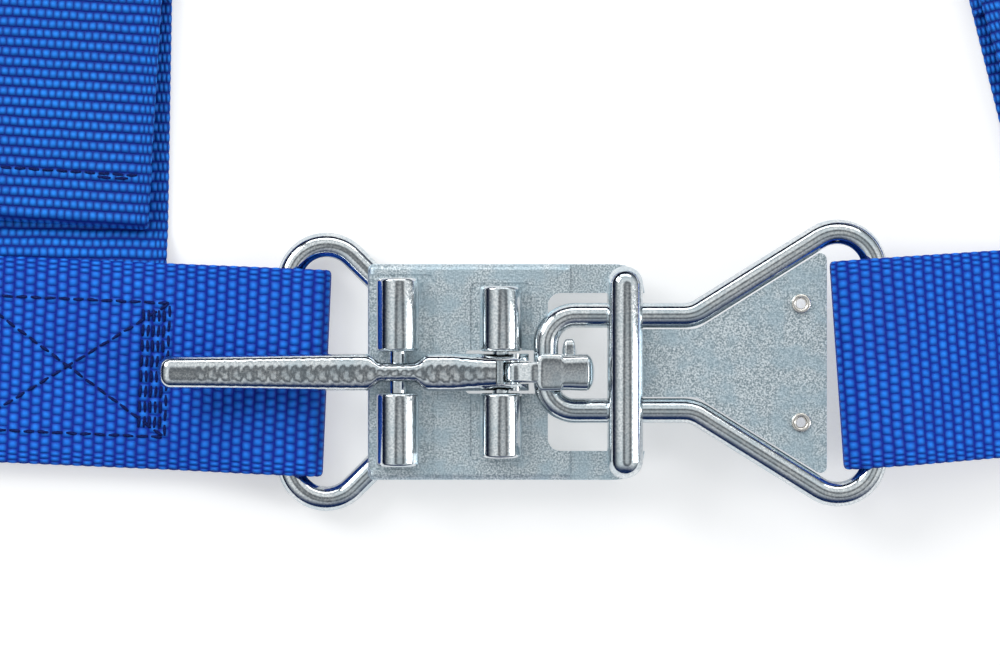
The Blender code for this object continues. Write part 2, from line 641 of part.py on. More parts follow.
def make_shoulder_strap(name, frame, drop):
    """The short lower strap: sewn between the lap belt's layers and looped round the adjuster."""
    turn = ADJUSTER_START + ADJUSTER_BAR + GAP + WEB_THICK / 2 + ADJUSTER_LOOP_RADIUS / 4
    low = ADJUSTER_Z - ADJUSTER_LOOP_RADIUS
    high = ADJUSTER_Z + ADJUSTER_LOOP_RADIUS
    sewn = TABLE_LAYER_Z + LAYER
    corners = [
        (SHOULDER_SEWN_START, sewn, 0.0), (drop, sewn, BEND_RADIUS),
        (drop + STRAP_DROP_LENGTH, TABLE_LAYER_Z, BEND_RADIUS),
        (turn, low, ADJUSTER_LOOP_RADIUS), (turn, high, ADJUSTER_LOOP_RADIUS),
        (ADJUSTER_START - STRAP_BAR_LEAD, high, BEND_RADIUS),
        (ADJUSTER_START - STRAP_BAR_LEAD - STRAP_RETURN_SLOPE, sewn, BEND_RADIUS),
        (SHOULDER_RETURN_START, sewn, 0.0),
    ]
    return extrude_outline(name, [band_outline(rounded_path(corners), WEB_THICK)], WEB_WIDTH, frame)


def make_shoulder_belt(name, frame, tail_end):
    """The long upper belt: hemmed tail, over the adjuster and down through it, then a hank."""
    sewn = TABLE_LAYER_Z + LAYER
    cover = sewn + HANK_PITCH
    over_loop = ADJUSTER_Z + ADJUSTER_LOOP_RADIUS + LAYER
    over_bar = ADJUSTER_Z + ADJUSTER_LOOP_RADIUS
    slot_start = ADJUSTER_MIDDLE + ADJUSTER_BAR / 2
    corners = [
        (tail_end + TAIL_HEM, sewn, 0.0), (tail_end, sewn, HANK_PITCH / 2), (tail_end, cover, HANK_PITCH / 2),
        (ADJUSTER_START - TAIL_BAR_LEAD - TAIL_SLOPE, cover, SLOPE_RADIUS),
        (ADJUSTER_START - TAIL_BAR_LEAD, over_loop, SLOPE_RADIUS),
        (ADJUSTER_MIDDLE - ADJUSTER_BAR / 2, over_loop, SLOT_BEND_RADIUS),
        (slot_start + SLOT_ENTRY, (over_loop + over_bar) / 2, SLOT_TURN_RADIUS),
        (slot_start + ADJUSTER_SLOT - SLOT_EXIT, TABLE_LAYER_Z, SLOT_BEND_RADIUS),
        (ADJUSTER_END + SLOT_EXIT, TABLE_LAYER_Z, BEND_RADIUS),
        *hank_corners(SHOULDER_HANK_START, SHOULDER_HANK_LENGTH, SHOULDER_HANK_RUNS),
    ]
    shifted = [(place - ADJUSTER_MIDDLE, height, radius) for place, height, radius in corners]
    return extrude_outline(name, [band_outline(rounded_path(shifted), WEB_THICK)], WEB_WIDTH, frame)


def make_adjuster(name, frame):
    """A three-bar slide."""
    half = SLOT_HALF + ADJUSTER_RAIL
    ends = [(ADJUSTER_START, half, ADJUSTER_CORNER_RADIUS), (ADJUSTER_END, half, ADJUSTER_CORNER_RADIUS)]
    outline = rounded_outline(mirrored(ends))
    slots = []
    for step in range(2):
        left = ADJUSTER_START + ADJUSTER_BAR + step * (ADJUSTER_BAR + ADJUSTER_SLOT)
        ends = [(left, SLOT_HALF, SLOT_END_RADIUS), (left + ADJUSTER_SLOT, SLOT_HALF, SLOT_END_RADIUS)]
        slots.append(rounded_outline(mirrored(ends)))
    return extrude_outline(name, [outline, *slots], ADJUSTER_THICK, frame)


def make_anchor(name, frame):
    """A bolt-in anchor plate: a bar and slot for the belt, tapering to a nose with a bolt hole."""
    half = SLOT_HALF + ANCHOR_RAIL
    bar = ANCHOR_BAR / 2
    shoulder = bar + ANCHOR_SLOT + ANCHOR_SHOULDER
    outline = rounded_outline(mirrored([
        (-bar, half, ANCHOR_CORNER_RADIUS), (shoulder, half, ANCHOR_SHOULDER),
        (ANCHOR_REACH + ANCHOR_NOSE_RADIUS, ANCHOR_NOSE_RADIUS, 0.9 * ANCHOR_NOSE_RADIUS),
    ]))
    ends = [(bar, SLOT_HALF, SLOT_END_RADIUS), (bar + ANCHOR_SLOT, SLOT_HALF, SLOT_END_RADIUS)]
    slot = rounded_outline(mirrored(ends))
    hole = circle((ANCHOR_REACH, 0.0), ANCHOR_HOLE_DIA, 48)
    return extrude_outline(name, [outline, slot, hole], ANCHOR_THICK, frame)


def axis_empty(name, place, parent):
    """An empty on a joint's axis, which carries what moves there."""
    empty = bpy.data.objects.new(name, None)
    bpy.context.scene.collection.objects.link(empty)
    empty.location = place
    bpy.context.view_layer.update()
    if parent:
        carry(parent, empty)
    return empty


def carry(parent, *pieces):
    """Let pieces move with a parent, from where they are."""
    bpy.context.view_layer.update()
    for piece in pieces:
        piece.parent = parent
        piece.matrix_parent_inverse = parent.matrix_world.inverted()


def dress(pieces, material, collection):
    """Give pieces a material and smooth shading, and put them in the harness's collection."""
    for piece in pieces:
        piece.data.materials.clear()
        piece.data.materials.append(material)
        piece.data.shade_smooth()
        piece.data.set_sharp_from_angle(angle=math.radians(35.0))
        bpy.context.scene.collection.objects.unlink(piece)
        collection.objects.link(piece)


def make_side(side, bar, turn, joins, hank_start, shoulder_x, shoulder_turn, drop, tail_end, skew, parent):
    """One side's belts: lap belt, shoulder strap and belt, adjuster and two anchor plates."""
    swivel = axis_empty(side + "_belt_axis", bar, parent)
    lap_origin = (bar[0], bar[1], 0.0)
    lap = make_lap_belt(side + "_lap_belt", upright(lap_origin, turn), bar[2], *joins, hank_start)
    slope = math.tan(math.radians(turn))
    root = (shoulder_x, bar[1] + (shoulder_x - bar[0]) * slope, 0.0)
    strap = make_shoulder_strap(side + "_shoulder_strap", upright(root, shoulder_turn), drop)
    adjuster = make_adjuster(side + "_shoulder_adjuster", flat((root[0], root[1], ADJUSTER_Z), shoulder_turn))
    middle = flat(root, shoulder_turn) @ Vector((ADJUSTER_MIDDLE, 0.0, 0.0))
    belt_turn = shoulder_turn + skew
    belt = make_shoulder_belt(side + "_shoulder_belt", upright(middle, belt_turn), tail_end)
    carry(swivel, lap, strap, adjuster, belt)
    webbing = [lap, strap, belt]
    steel = [adjuster]
    hanks = (
        ("_lap_anchor", lap_origin, turn, anchor_place(hank_start, LAP_HANK_LENGTH), 0.0),
        ("_shoulder_anchor", middle, belt_turn,
         anchor_place(SHOULDER_HANK_START, SHOULDER_HANK_LENGTH), ADJUSTER_MIDDLE),
    )
    for suffix, origin, heading, (along, height), start in hanks:
        pivot = flat(origin, heading) @ Vector((along - start, 0.0, height))
        hinge = axis_empty(side + suffix + "_axis", pivot, swivel)
        anchor = make_anchor(side + suffix, flat(pivot, heading))
        carry(hinge, anchor)
        steel.append(anchor)
        print("axis", side + suffix, [round(v, 6) for v in pivot], "turn", heading)
    return webbing, steel


def centre_on_footprint(frame, pieces):
    """Move the harness so that the origin is in the middle of the ground that it covers."""
    bpy.context.view_layer.update()
    corners = np.array([piece.matrix_world @ Vector(c) for piece in pieces for c in piece.bound_box])
    middle = (corners.min(axis=0) + corners.max(axis=0)) / 2
    frame.location = (-middle[0], -middle[1], 0.0)
    print("buckle at", [round(-v, 6) for v in middle[:2]], "size", np.ptp(corners, axis=0).round(5))


def main():
    """Build the harness."""
    clear_scene()
    collection = bpy.data.collections.new("racing_harness")
    bpy.context.scene.collection.children.link(collection)
    steel = make_material("zinc_plated_steel", (0.66, 0.70, 0.72), 0.28, 1.0)
    nylon = make_material("blue_webbing", (0.01, 0.09, 0.72), 0.62, 0.0)
    rivet_metal = make_material("rivet_metal", (0.80, 0.79, 0.76), 0.35, 1.0)

    frame = axis_empty("harness", (0.0, 0.0, 0.0), None)
    lever_pin = make_pin("lever_pin", PIN_X, NOSE_KNUCKLE_OUTER)
    rest_pin = make_pin("rest_pin", REST_PIN_X, KNUCKLE_OUTER)
    latch = [make_latch_plate(), make_strap_loop(), lever_pin, rest_pin]
    carry(frame, *latch)

    lever_axis = axis_empty("lever_axis", (PIN_X, 0.0, PIN_Z), frame)
    across = LEVER_WIDTH / 2
    hook_pin = add_rod("hook_pin", (HOOK_X, -across, HOOK_Z), (HOOK_X, across, HOOK_Z), HOOK_PIN_DIA, 16)
    lever = [make_lever(), hook_pin]
    carry(lever_axis, *lever)
    hook_axis = axis_empty("hook_axis", (HOOK_X, 0.0, HOOK_Z), lever_axis)
    hook = make_hook()
    carry(hook_axis, hook)

    link_axis = axis_empty("link_axis", (LINK_BAR_X, 0.0, LINK_Z), frame)
    link = [make_link_wire(), make_link_plate()]
    rivet_names = ("link_rivet_upper", "link_rivet_lower")
    rivets = [make_rivet(name, place) for name, place in zip(rivet_names, rivet_places())]
    carry(link_axis, *link, *rivets)

    left_webbing, left_steel = make_side(
        "left", (LOOP_BAR_X, 0.0, LOOP_Z), LEFT_LAP_TURN, (LEFT_JOIN_START, LEFT_JOIN_END), LEFT_HANK_START,
        LEFT_SHOULDER_X, LEFT_SHOULDER_TURN, LEFT_SHOULDER_DROP, LEFT_TAIL_END, -TAIL_SKEW, frame)
    right_webbing, right_steel = make_side(
        "right", (LINK_STRAP_X, LINK_OFFSET_Y, LINK_Z), RIGHT_LAP_TURN, (RIGHT_JOIN_START, RIGHT_JOIN_END),
        RIGHT_HANK_START, RIGHT_SHOULDER_X, RIGHT_SHOULDER_TURN, RIGHT_SHOULDER_DROP, RIGHT_TAIL_END,
        TAIL_SKEW, link_axis)

    metal = [*latch, *lever, hook, *link, *left_steel, *right_steel]
    webbing = [*left_webbing, *right_webbing]
    dress(metal, steel, collection)
    dress(webbing, nylon, collection)
    dress(rivets, rivet_metal, collection)
    centre_on_footprint(frame, [*metal, *webbing, *rivets])


main()
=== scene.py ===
"""Looks of a latch-and-link racing harness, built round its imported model.

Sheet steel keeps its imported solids, with rounded edges and a plated finish. Lever, hook, wires, rivets and
webbing are modelled here as fine meshes that stand for the plain solids. Knuckles, a bead and stitches are
added. Lengths are in metres, +Z is up, and the harness lies on the plane Z = 0.
"""

import json
import logging
import math
from collections.abc import Iterator, Sequence
from dataclasses import dataclass
from enum import Enum

import bmesh
import bpy
import numpy as np
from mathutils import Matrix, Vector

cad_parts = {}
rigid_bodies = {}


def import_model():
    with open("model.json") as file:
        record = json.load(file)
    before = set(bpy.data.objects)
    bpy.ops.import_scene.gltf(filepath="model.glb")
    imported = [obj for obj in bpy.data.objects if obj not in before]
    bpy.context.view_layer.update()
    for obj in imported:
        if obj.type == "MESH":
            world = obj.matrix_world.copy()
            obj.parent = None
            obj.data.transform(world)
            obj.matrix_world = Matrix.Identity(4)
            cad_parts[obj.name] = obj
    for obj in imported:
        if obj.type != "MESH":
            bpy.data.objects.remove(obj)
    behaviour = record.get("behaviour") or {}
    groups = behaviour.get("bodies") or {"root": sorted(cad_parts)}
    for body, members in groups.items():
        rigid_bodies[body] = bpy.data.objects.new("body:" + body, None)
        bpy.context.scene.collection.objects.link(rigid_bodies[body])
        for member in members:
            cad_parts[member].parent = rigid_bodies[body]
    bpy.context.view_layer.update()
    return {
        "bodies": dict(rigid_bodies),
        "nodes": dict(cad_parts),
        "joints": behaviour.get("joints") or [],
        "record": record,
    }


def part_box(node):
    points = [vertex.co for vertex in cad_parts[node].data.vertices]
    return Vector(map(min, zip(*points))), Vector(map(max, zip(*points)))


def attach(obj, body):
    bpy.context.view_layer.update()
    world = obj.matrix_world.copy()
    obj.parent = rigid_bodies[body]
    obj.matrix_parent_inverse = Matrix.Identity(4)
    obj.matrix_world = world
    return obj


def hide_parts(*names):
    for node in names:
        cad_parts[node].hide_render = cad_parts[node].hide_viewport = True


LOG = logging.getLogger("racing_harness")
MM = 0.001

Pair = tuple[float, float]
Triple = tuple[float, float, float]
Values = np.ndarray | float
Faces = list[Sequence[int]]
Shape = tuple[np.ndarray, Faces]
Material = bpy.types.Material
Piece = bpy.types.Object
Socket = bpy.types.NodeSocket

# The middle of the photograph, from the lever's pin
VIEW_MIDDLE = (-0.2 * MM, 9.5 * MM)

# Ranges of noise that a change is spread over, and the name of the webbing's map
UNIT = (0.0, 1.0)
MIDDLE_RANGE = (0.3, 0.7)
BELT_MAP = "belt"

# How fine the meshes are: points in a round section, steps of a rounded end, and its first angle in radians
ROUND_SIDES = 32
END_STEPS = 12
FIRST_ANGLE = 0.05

# Angles in degrees: the steps of bends, half a corner that counts as straight, and edges that stay sharp
BEND_STEP = 8.0
STRAIGHT = 89.0
SHARP = 40.0
ROUND_SHARP = 60.0
NEVER_SHARP = 180.0

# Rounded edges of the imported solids
BEVEL_ANGLE = 35.0
BEVEL_SEGMENTS = 3
WELD = 0.001 * MM

# Places in the buckle that its wires and the belts share
PIN_X = -1.0 * MM
LOOP_HEIGHT = 5.1 * MM
LOOP_BAR = -52.2 * MM
LINK_HEIGHT = 14.1 * MM
LINK_SHIFT = 2.2 * MM
LINK_BAR = 88.6 * MM
LINK_KNEE = (45.0 * MM, 11.4 * MM, 8.0 * MM)
LINK_EDGE = LINK_KNEE[1] + (LINK_BAR - LINK_KNEE[0]) * math.tan(math.radians(32.0))

# The webbing, its layers on the table and its bends
WEB_WIDTH = 50.0 * MM
WEB_THICK = 1.8 * MM
TABLE_LAYER = WEB_THICK / 2
LAYER = 2.1 * MM
SEWN = TABLE_LAYER + LAYER
BEND = 4.0 * MM
EASE = 6.0 * MM

# Hanks of folded webbing, and the ends that are sewn round the anchor plates' bars
HANK_PITCH = 2.4 * MM
HANK_RUN = 84.0 * MM
HANK_RUNS = 5
HANK_LEAD = 4.0 * MM
ANCHOR_LEAD = 42.0 * MM
ANCHOR_LOOP = math.hypot(2.0 * MM, 2.5 * MM) + 1.2 * MM
ANCHOR_SLOPE = 12.0 * MM
ANCHOR_TAIL = 28.0 * MM

# The sewn box and its tack
BOX_HALF = (24.0 * MM, 16.2 * MM)
TACK_ROWS = 5
TACK_STEP = 1.25 * MM
TACK_INSET = 1.5 * MM


class Side(Enum):
    """Which half of the harness a belt belongs to."""

    LEFT = "left"
    RIGHT = "right"


class Slot(Enum):
    """The record's material slots."""

    STEEL = "zinc_plated_steel"
    WEBBING = "blue_webbing"
    RIVET = "rivet_metal"


class NodeSheet:
    """The nodes of a material or a world, added one after another."""

    def __init__(self, owner: Material | bpy.types.World) -> None:
        """Start with the nodes that Blender gives the material or the world."""
        owner.use_nodes = True
        self.tree = owner.node_tree

    def add(self, kind: str) -> bpy.types.Node:
        """Add a node of a type that Blender names."""
        return self.tree.nodes.new(kind)

    def join(self, source: Socket | float | tuple, target: Socket) -> None:
        """Link a socket to another, or set it to a plain value.

        Args:
            source: An output socket, a number or a colour.
            target: The input socket.
        """
        if isinstance(source, (int, float, tuple)):
            target.default_value = source
        else:
            self.tree.links.new(source, target)

    def maths(self, operation: str, *values: Socket | float) -> Socket:
        """Add a maths node.

        Args:
            operation: The node's operation.
            values: Output sockets or numbers, in order.

        Returns:
            The result's socket.
        """
        node = self.add("ShaderNodeMath")
        node.operation = operation
        for value, socket in zip(values, node.inputs):
            self.join(value, socket)
        return node.outputs[0]

    def span(self, value: Socket, source: Pair, target: Pair) -> Socket:
        """Map a range of values to another, held at its ends.

        Args:
            value: The socket to read.
            source: Where the range starts and ends.
            target: What its start and its end become.

        Returns:
            The result's socket.
        """
        node = self.add("ShaderNodeMapRange")
        for number, socket in zip((value, *source, *target), node.inputs):
            self.join(number, socket)
        return node.outputs[0]

    def noise(self, place: Socket, scale: float, detail: float) -> Socket:
        """Add noise.

        Args:
            place: The coordinates' socket.
            scale: How many grains lie on a metre.
            detail: How many finer layers it has.

        Returns:
            The noise value's socket.
        """
        node = self.add("ShaderNodeTexNoise")
        self.join(place, node.inputs["Vector"])
        self.join(scale, node.inputs["Scale"])
        self.join(detail, node.inputs["Detail"])
        return node.outputs[0]

    def mix_colour(self, factor: Socket, first: Socket | Triple, second: Socket | Triple) -> Socket:
        """Blend two colours, which a mix node keeps at its inputs 6 and 7, with the result at its output 2.

        Args:
            factor: Socket that runs from 0, the first colour, to 1, the second.
            first: Linear colour, or a colour's socket.
            second: Linear colour, or a colour's socket.

        Returns:
            The colour's socket.
        """
        node = self.add("ShaderNodeMix")
        node.data_type = "RGBA"
        self.join(factor, node.inputs[0])
        for colour, socket in ((first, node.inputs[6]), (second, node.inputs[7])):
            self.join((*colour, 1.0) if isinstance(colour, tuple) else colour, socket)
        return node.outputs[2]


class MaterialSheet(NodeSheet):
    """The nodes of a new material with a Principled surface."""

    def __init__(self, name: str) -> None:
        """Start the material.

        Args:
            name: The material's name.
        """
        self.material = bpy.data.materials.new(name)
        super().__init__(self.material)
        self.shader = self.tree.nodes["Principled BSDF"]

    def place(self) -> Socket:
        """Give the socket of the object's own coordinates."""
        return self.add("ShaderNodeTexCoord").outputs["Object"]

    def surface(self, **values: Socket | float | tuple) -> None:
        """Set the surface's inputs by their names, with low lines for spaces."""
        for name, value in values.items():
            self.join(value, self.shader.inputs[name.replace("_", " ")])

    def bump(self, height: Socket, depth: float) -> None:
        """Give the surface relief.

        Args:
            height: The height's socket.
            depth: Height in metres that the value 1 stands for.
        """
        node = self.add("ShaderNodeBump")
        self.join(depth, node.inputs["Distance"])
        self.join(height, node.inputs["Height"])
        self.join(node.outputs[0], self.shader.inputs["Normal"])


@dataclass(frozen=True)
class MetalFinish:
    """Zinc plating on steel.

    Attributes:
        name: The material's name.
        light: Linear colour of its bright grains.
        dark: Linear colour of its dull grains.
        tint: Linear colour of the bluish patches of the plating.
        roughness: Lowest and highest roughness.
        grain: How many grains of the plating lie on a metre.
        depth: Height of the grain.
    """

    name: str
    light: Triple
    dark: Triple
    tint: Triple
    roughness: Pair
    grain: float
    depth: float

    # How many grains make a patch, and the ranges of noise that flecks and patches are spread over
    patch_grains: int = 14
    grain_range: Pair = (0.38, 0.62)
    patch_range: Pair = (0.45, 0.65)
    patch_share: float = 0.6

    def build(self) -> Material:
        """Make the material.

        Returns:
            A new node material on object coordinates.
        """
        sheet = MaterialSheet(self.name)
        place = sheet.place()
        grain = sheet.noise(place, self.grain, detail=3.0)
        patches = sheet.noise(place, self.grain / self.patch_grains, detail=2.0)
        flecks = sheet.mix_colour(sheet.span(grain, self.grain_range, UNIT), self.dark, self.light)
        tinted = sheet.span(patches, self.patch_range, (0.0, self.patch_share))
        colour = sheet.mix_colour(tinted, flecks, self.tint)
        rough = sheet.span(grain, MIDDLE_RANGE, self.roughness)
        sheet.surface(Base_Color=colour, Roughness=rough, Metallic=1.0)
        sheet.bump(grain, self.depth)
        return sheet.material


@dataclass(frozen=True)
class WebbingFinish:
    """Ribbed nylon webbing, on its own coordinates along and across the belt.

    Attributes:
        name: The material's name.
        crown: Linear colour on top of the yarns.
        valley_shade_colour: Linear colour between the yarns, painted shade where the domes sink.
        rib: Distance between ribs, along the belt.
        yarn: Distance between yarns, across the belt.
    """

    name: str
    crown: Triple
    valley_shade_colour: Triple
    rib: float
    yarn: float

    # Noise in grains on a metre, the ranges of its values, and how the domes of yarn look
    fuzz: float = 2600.0
    wear: float = 60.0
    picks: float = 420.0
    sway: float = 170.0
    drift: float = 260.0
    wide_range: Pair = (0.2, 0.8)
    selvedge: float = 21.8 * MM
    fine_yarn: float = 0.6
    weave_depth: float = 0.55 * MM
    rib_power: float = 0.9
    yarn_share: float = 0.76
    fuzz_share: float = 0.10
    shaded: Pair = (0.22, 1.0)
    dulled: Pair = (0.80, 1.0)
    roughness: Pair = (0.50, 0.70)
    specular: float = 0.2
    sway_shift: Pair = (-0.06, 0.06)
    drift_shift: Pair = (-0.09, 0.09)

    def build(self) -> Material:
        """Make the material: rows of domes, each shifted by half a yarn, with finer yarns at the selvedge.

        A dome's height is the rib's half sine times the yarn's half sine, so the rows sink between the ribs.

        Returns:
            A new node material that reads the belt's own map.
        """
        sheet = MaterialSheet(self.name)
        belt = sheet.add("ShaderNodeUVMap")
        belt.uv_map = BELT_MAP
        split = sheet.add("ShaderNodeSeparateXYZ")
        sheet.join(belt.outputs["UV"], split.inputs[0])
        place = sheet.place()
        fuzz = sheet.noise(place, self.fuzz, detail=4.0)
        wear = sheet.noise(place, self.wear, detail=2.0)
        picks = sheet.span(sheet.noise(place, self.picks, detail=1.0), MIDDLE_RANGE, self.dulled)
        sway = sheet.span(sheet.noise(place, self.sway, detail=1.0), self.wide_range, self.sway_shift)
        drift = sheet.span(sheet.noise(place, self.drift, detail=1.0), self.wide_range, self.drift_shift)
        along = sheet.maths("ADD", sheet.maths("DIVIDE", split.outputs["X"], self.rib), sway)
        shift = sheet.maths("MULTIPLY", sheet.maths("FLOOR", along), 0.5)
        off_middle = sheet.maths("ABSOLUTE", split.outputs["Y"])
        coarse = sheet.maths("DIVIDE", sheet.maths("MINIMUM", off_middle, self.selvedge), self.yarn)
        beyond = sheet.maths("MAXIMUM", sheet.maths("SUBTRACT", off_middle, self.selvedge), 0.0)
        fine = sheet.maths("DIVIDE", beyond, self.yarn * self.fine_yarn)
        across = sheet.maths("ADD", sheet.maths("ADD", coarse, fine), sheet.maths("ADD", shift, drift))
        rib = sheet.maths("POWER", self.half_sine(sheet, along), self.rib_power)
        yarn = self.half_sine(sheet, across)
        yarn = sheet.maths("MULTIPLY_ADD", yarn, self.yarn_share, 1.0 - self.yarn_share)
        height = sheet.maths("MULTIPLY_ADD", fuzz, self.fuzz_share, sheet.maths("MULTIPLY", rib, yarn))
        worn = sheet.maths("MULTIPLY", sheet.span(wear, self.wide_range, self.dulled), picks)
        # Painted shade: the colour falls from crown to valley where the height is low, between the yarns and
        # ribs.
        painted_shade_tone = sheet.maths("MULTIPLY", sheet.span(height, self.shaded, UNIT), worn)
        rough = sheet.span(fuzz, self.wide_range, self.roughness)
        colour = sheet.mix_colour(painted_shade_tone, self.valley_shade_colour, self.crown)
        sheet.surface(Base_Color=colour, Roughness=rough, Specular_IOR_Level=self.specular)
        sheet.bump(height, self.weave_depth)
        return sheet.material

    @staticmethod
    def half_sine(sheet: NodeSheet, value: Socket) -> Socket:
        """Shape rows of humps, one for each whole step of the value: the size of sin(pi * value)."""
        return sheet.maths("ABSOLUTE", sheet.maths("SINE", sheet.maths("MULTIPLY", value, math.pi)))


Cloth = tuple[WebbingFinish, Material]


@dataclass(frozen=True)
class ThreadFinish:
    """Twisted sewing thread.

    Attributes:
        name: The material's name.
        light: Linear colour of the strands.
        dark: Linear colour between the strands.
    """

    name: str
    light: Triple
    dark: Triple

    # Noise in grains on a metre, and how the strands look
    strands: float = 3200.0
    strand_range: Pair = (0.35, 0.65)
    depth: float = 0.1 * MM
    roughness: float = 0.7
    specular: float = 0.1

    def build(self) -> Material:
        """Make the material.

        Returns:
            A new node material on object coordinates.
        """
        sheet = MaterialSheet(self.name)
        strands = sheet.noise(sheet.place(), self.strands, detail=2.0)
        colour = sheet.mix_colour(sheet.span(strands, self.strand_range, UNIT), self.dark, self.light)
        sheet.surface(Base_Color=colour, Roughness=self.roughness, Specular_IOR_Level=self.specular)
        sheet.bump(strands, self.depth)
        return sheet.material


def rounded_path(corners: Sequence[Triple], step: float = BEND_STEP) -> np.ndarray:
    """Follow corners with an arc at each.

    Args:
        corners: Corners as (x, y, radius).
        step: Largest turn between two points of an arc, in degrees.

    Returns:
        Points of the path, one row each.
    """
    path = [np.array(corners[0][:2])]
    for before, (x, y, radius), after in zip(corners, corners[1:], corners[2:]):
        point = np.array((x, y))
        inward = np.array(before[:2]) - point
        outward = np.array(after[:2]) - point
        inward /= np.linalg.norm(inward)
        outward /= np.linalg.norm(outward)
        half = math.acos(max(-1.0, min(1.0, float(inward @ outward)))) / 2
        if radius <= 0 or half > math.radians(STRAIGHT):
            path.append(point)
            continue
        middle = inward + outward
        centre = point + middle / np.linalg.norm(middle) * (radius / math.sin(half))
        first = point + inward * (radius / math.tan(half)) - centre
        last = point + outward * (radius / math.tan(half)) - centre
        sweep = math.atan2(first[0] * last[1] - first[1] * last[0], float(first @ last))
        for angle in np.linspace(0.0, sweep, max(3, math.ceil(abs(math.degrees(sweep)) / step)) + 1):
            turned = (first[0] * math.cos(angle) - first[1] * math.sin(angle),
                      first[0] * math.sin(angle) + first[1] * math.cos(angle))
            path.append(centre + np.array(turned))
    path.append(np.array(corners[-1][:2]))
    return np.array(path)


def resample(path: np.ndarray, spacing: float) -> tuple[np.ndarray, np.ndarray]:
    """Put points on a path at even distances.

    Args:
        path: Points of the path.
        spacing: Distance between points, which is fitted to the path's length.

    Returns:
        The new points, and each one's distance along the path.
    """
    reach = np.concatenate([[0.0], np.cumsum(np.linalg.norm(np.diff(path, axis=0), axis=1))])
    places = np.linspace(0.0, reach[-1], max(2, round(reach[-1] / spacing)) + 1)
    points = np.stack([np.interp(places, reach, path[:, axis]) for axis in range(path.shape[1])], axis=1)
    return points, places


def headings(steps: np.ndarray) -> tuple[np.ndarray, np.ndarray]:
    """Give unit vectors ahead and to the left of the steps of a path, one row each."""
    ahead = steps / np.linalg.norm(steps, axis=1)[:, None]
    return ahead, np.stack([-ahead[:, 1], ahead[:, 0]], axis=1)


def full_turn(count: int) -> np.ndarray:
    """Give angles that divide a full turn evenly."""
    return np.linspace(0.0, 2 * math.pi, count, endpoint=False)


def rounding(count: int) -> np.ndarray:
    """Give shares of a rounded end's length that lie closer at its tip, by 1 - cos over a quarter turn."""
    return 1.0 - np.cos(np.linspace(FIRST_ANGLE, math.pi / 2, count))


def between(along: np.ndarray, start: float, end: float) -> np.ndarray:
    """Rise smoothly from 0 at one place to 1 at another, by 3 t^2 - 2 t^3."""
    share = np.clip((along - start) / (end - start), 0.0, 1.0)
    return share * share * (3.0 - 2.0 * share)


def sections(start: float, end: float, rounds: Pair, step: float) -> np.ndarray:
    """Spread places over a length, closer together in its rounded ends.

    Args:
        start: Where the length starts.
        end: Where it ends.
        rounds: How long its rounded start and end are.
        step: Distance between places elsewhere.

    Returns:
        The places, in order.
    """
    close = rounding(END_STEPS)
    middle = np.arange(start + rounds[0], end - rounds[1], step)[1:]
    return np.concatenate([start + rounds[0] * close, middle, end - rounds[1] * close[::-1]])


def grid_faces(rings: int, sides: int, closed: bool) -> Faces:
    """List the faces of a tube of rings.

    Args:
        rings: Number of rings.
        sides: Points in a ring.
        closed: Whether the last ring joins the first.

    Returns:
        Faces as four point numbers each.
    """
    ring, side = np.indices((rings if closed else rings - 1, sides)).reshape(2, -1)
    after, beside = (ring + 1) % rings, (side + 1) % sides
    corners = ((ring, side), (ring, beside), (after, beside), (after, side))
    return np.stack([row * sides + place for row, place in corners], axis=1).tolist()


def lofted(rings: np.ndarray, closed: bool = False) -> Shape:
    """Skin a row of rings, with a face at each end if it has ends.

    Args:
        rings: Points by ring, side and axis.
        closed: Whether the last ring joins the first.

    Returns:
        The points, one row each, and the faces.
    """
    count, sides = rings.shape[:2]
    last = (count - 1) * sides
    ends = [tuple(reversed(range(sides))), tuple(range(last, last + sides))]
    return rings.reshape(-1, 3), grid_faces(count, sides, closed) + ([] if closed else ends)


def prism(outline: np.ndarray, low: float, high: float) -> Shape:
    """Carry an outline of points (x, z) along Y, from one place to another."""
    return lofted(np.stack([np.insert(outline, 1, y, axis=1) for y in (low, high)]))


def disc(x: float, z: float, radius: float) -> np.ndarray:
    """Give the points (x, z) of a circle."""
    turns = full_turn(ROUND_SIDES)
    return np.stack([x + radius * np.cos(turns), z + radius * np.sin(turns)], axis=1)


def shade(mesh: bpy.types.Mesh, angle: float) -> None:
    """Shade a mesh smooth, apart from edges sharper than an angle in degrees."""
    mesh.shade_smooth()
    mesh.set_sharp_from_angle(angle=math.radians(angle))
    mesh.update()


def make_piece(name: str, points: Sequence, faces: Faces, material: Material, smooth: float = SHARP) -> Piece:
    """Turn points and faces into a shown object.

    Args:
        name: The object's name.
        points: Places of the points.
        faces: Faces as point numbers.
        material: Its material.
        smooth: Angle in degrees above which an edge stays sharp.

    Returns:
        The new object, at the origin.
    """
    mesh = bpy.data.meshes.new(name)
    mesh.from_pydata(np.asarray(points).tolist(), [], faces)
    mesh.materials.append(material)
    work = bmesh.new()
    work.from_mesh(mesh)
    if work.calc_volume(signed=True) < 0:
        mesh.flip_normals()
    work.free()
    shade(mesh, smooth)
    piece = bpy.data.objects.new(name, mesh)
    bpy.context.scene.collection.objects.link(piece)
    return piece


def merge(piece: Piece, other: Shape, operation: str) -> None:
    """Join a closed shape to a piece, or cut it out.

    Args:
        piece: The piece, whose mesh is replaced by the result.
        other: The shape's points and faces.
        operation: UNION or DIFFERENCE.
    """
    tool = make_piece("tool", *other, piece.data.materials[0])
    cut = piece.modifiers.new(operation, "BOOLEAN")
    cut.object = tool
    cut.operation = operation
    result = bpy.data.meshes.new_from_object(piece.evaluated_get(bpy.context.evaluated_depsgraph_get()))
    piece.modifiers.clear()
    old = piece.data
    piece.data = result
    result.name = piece.name
    bpy.data.meshes.remove(old)
    bpy.data.objects.remove(tool)


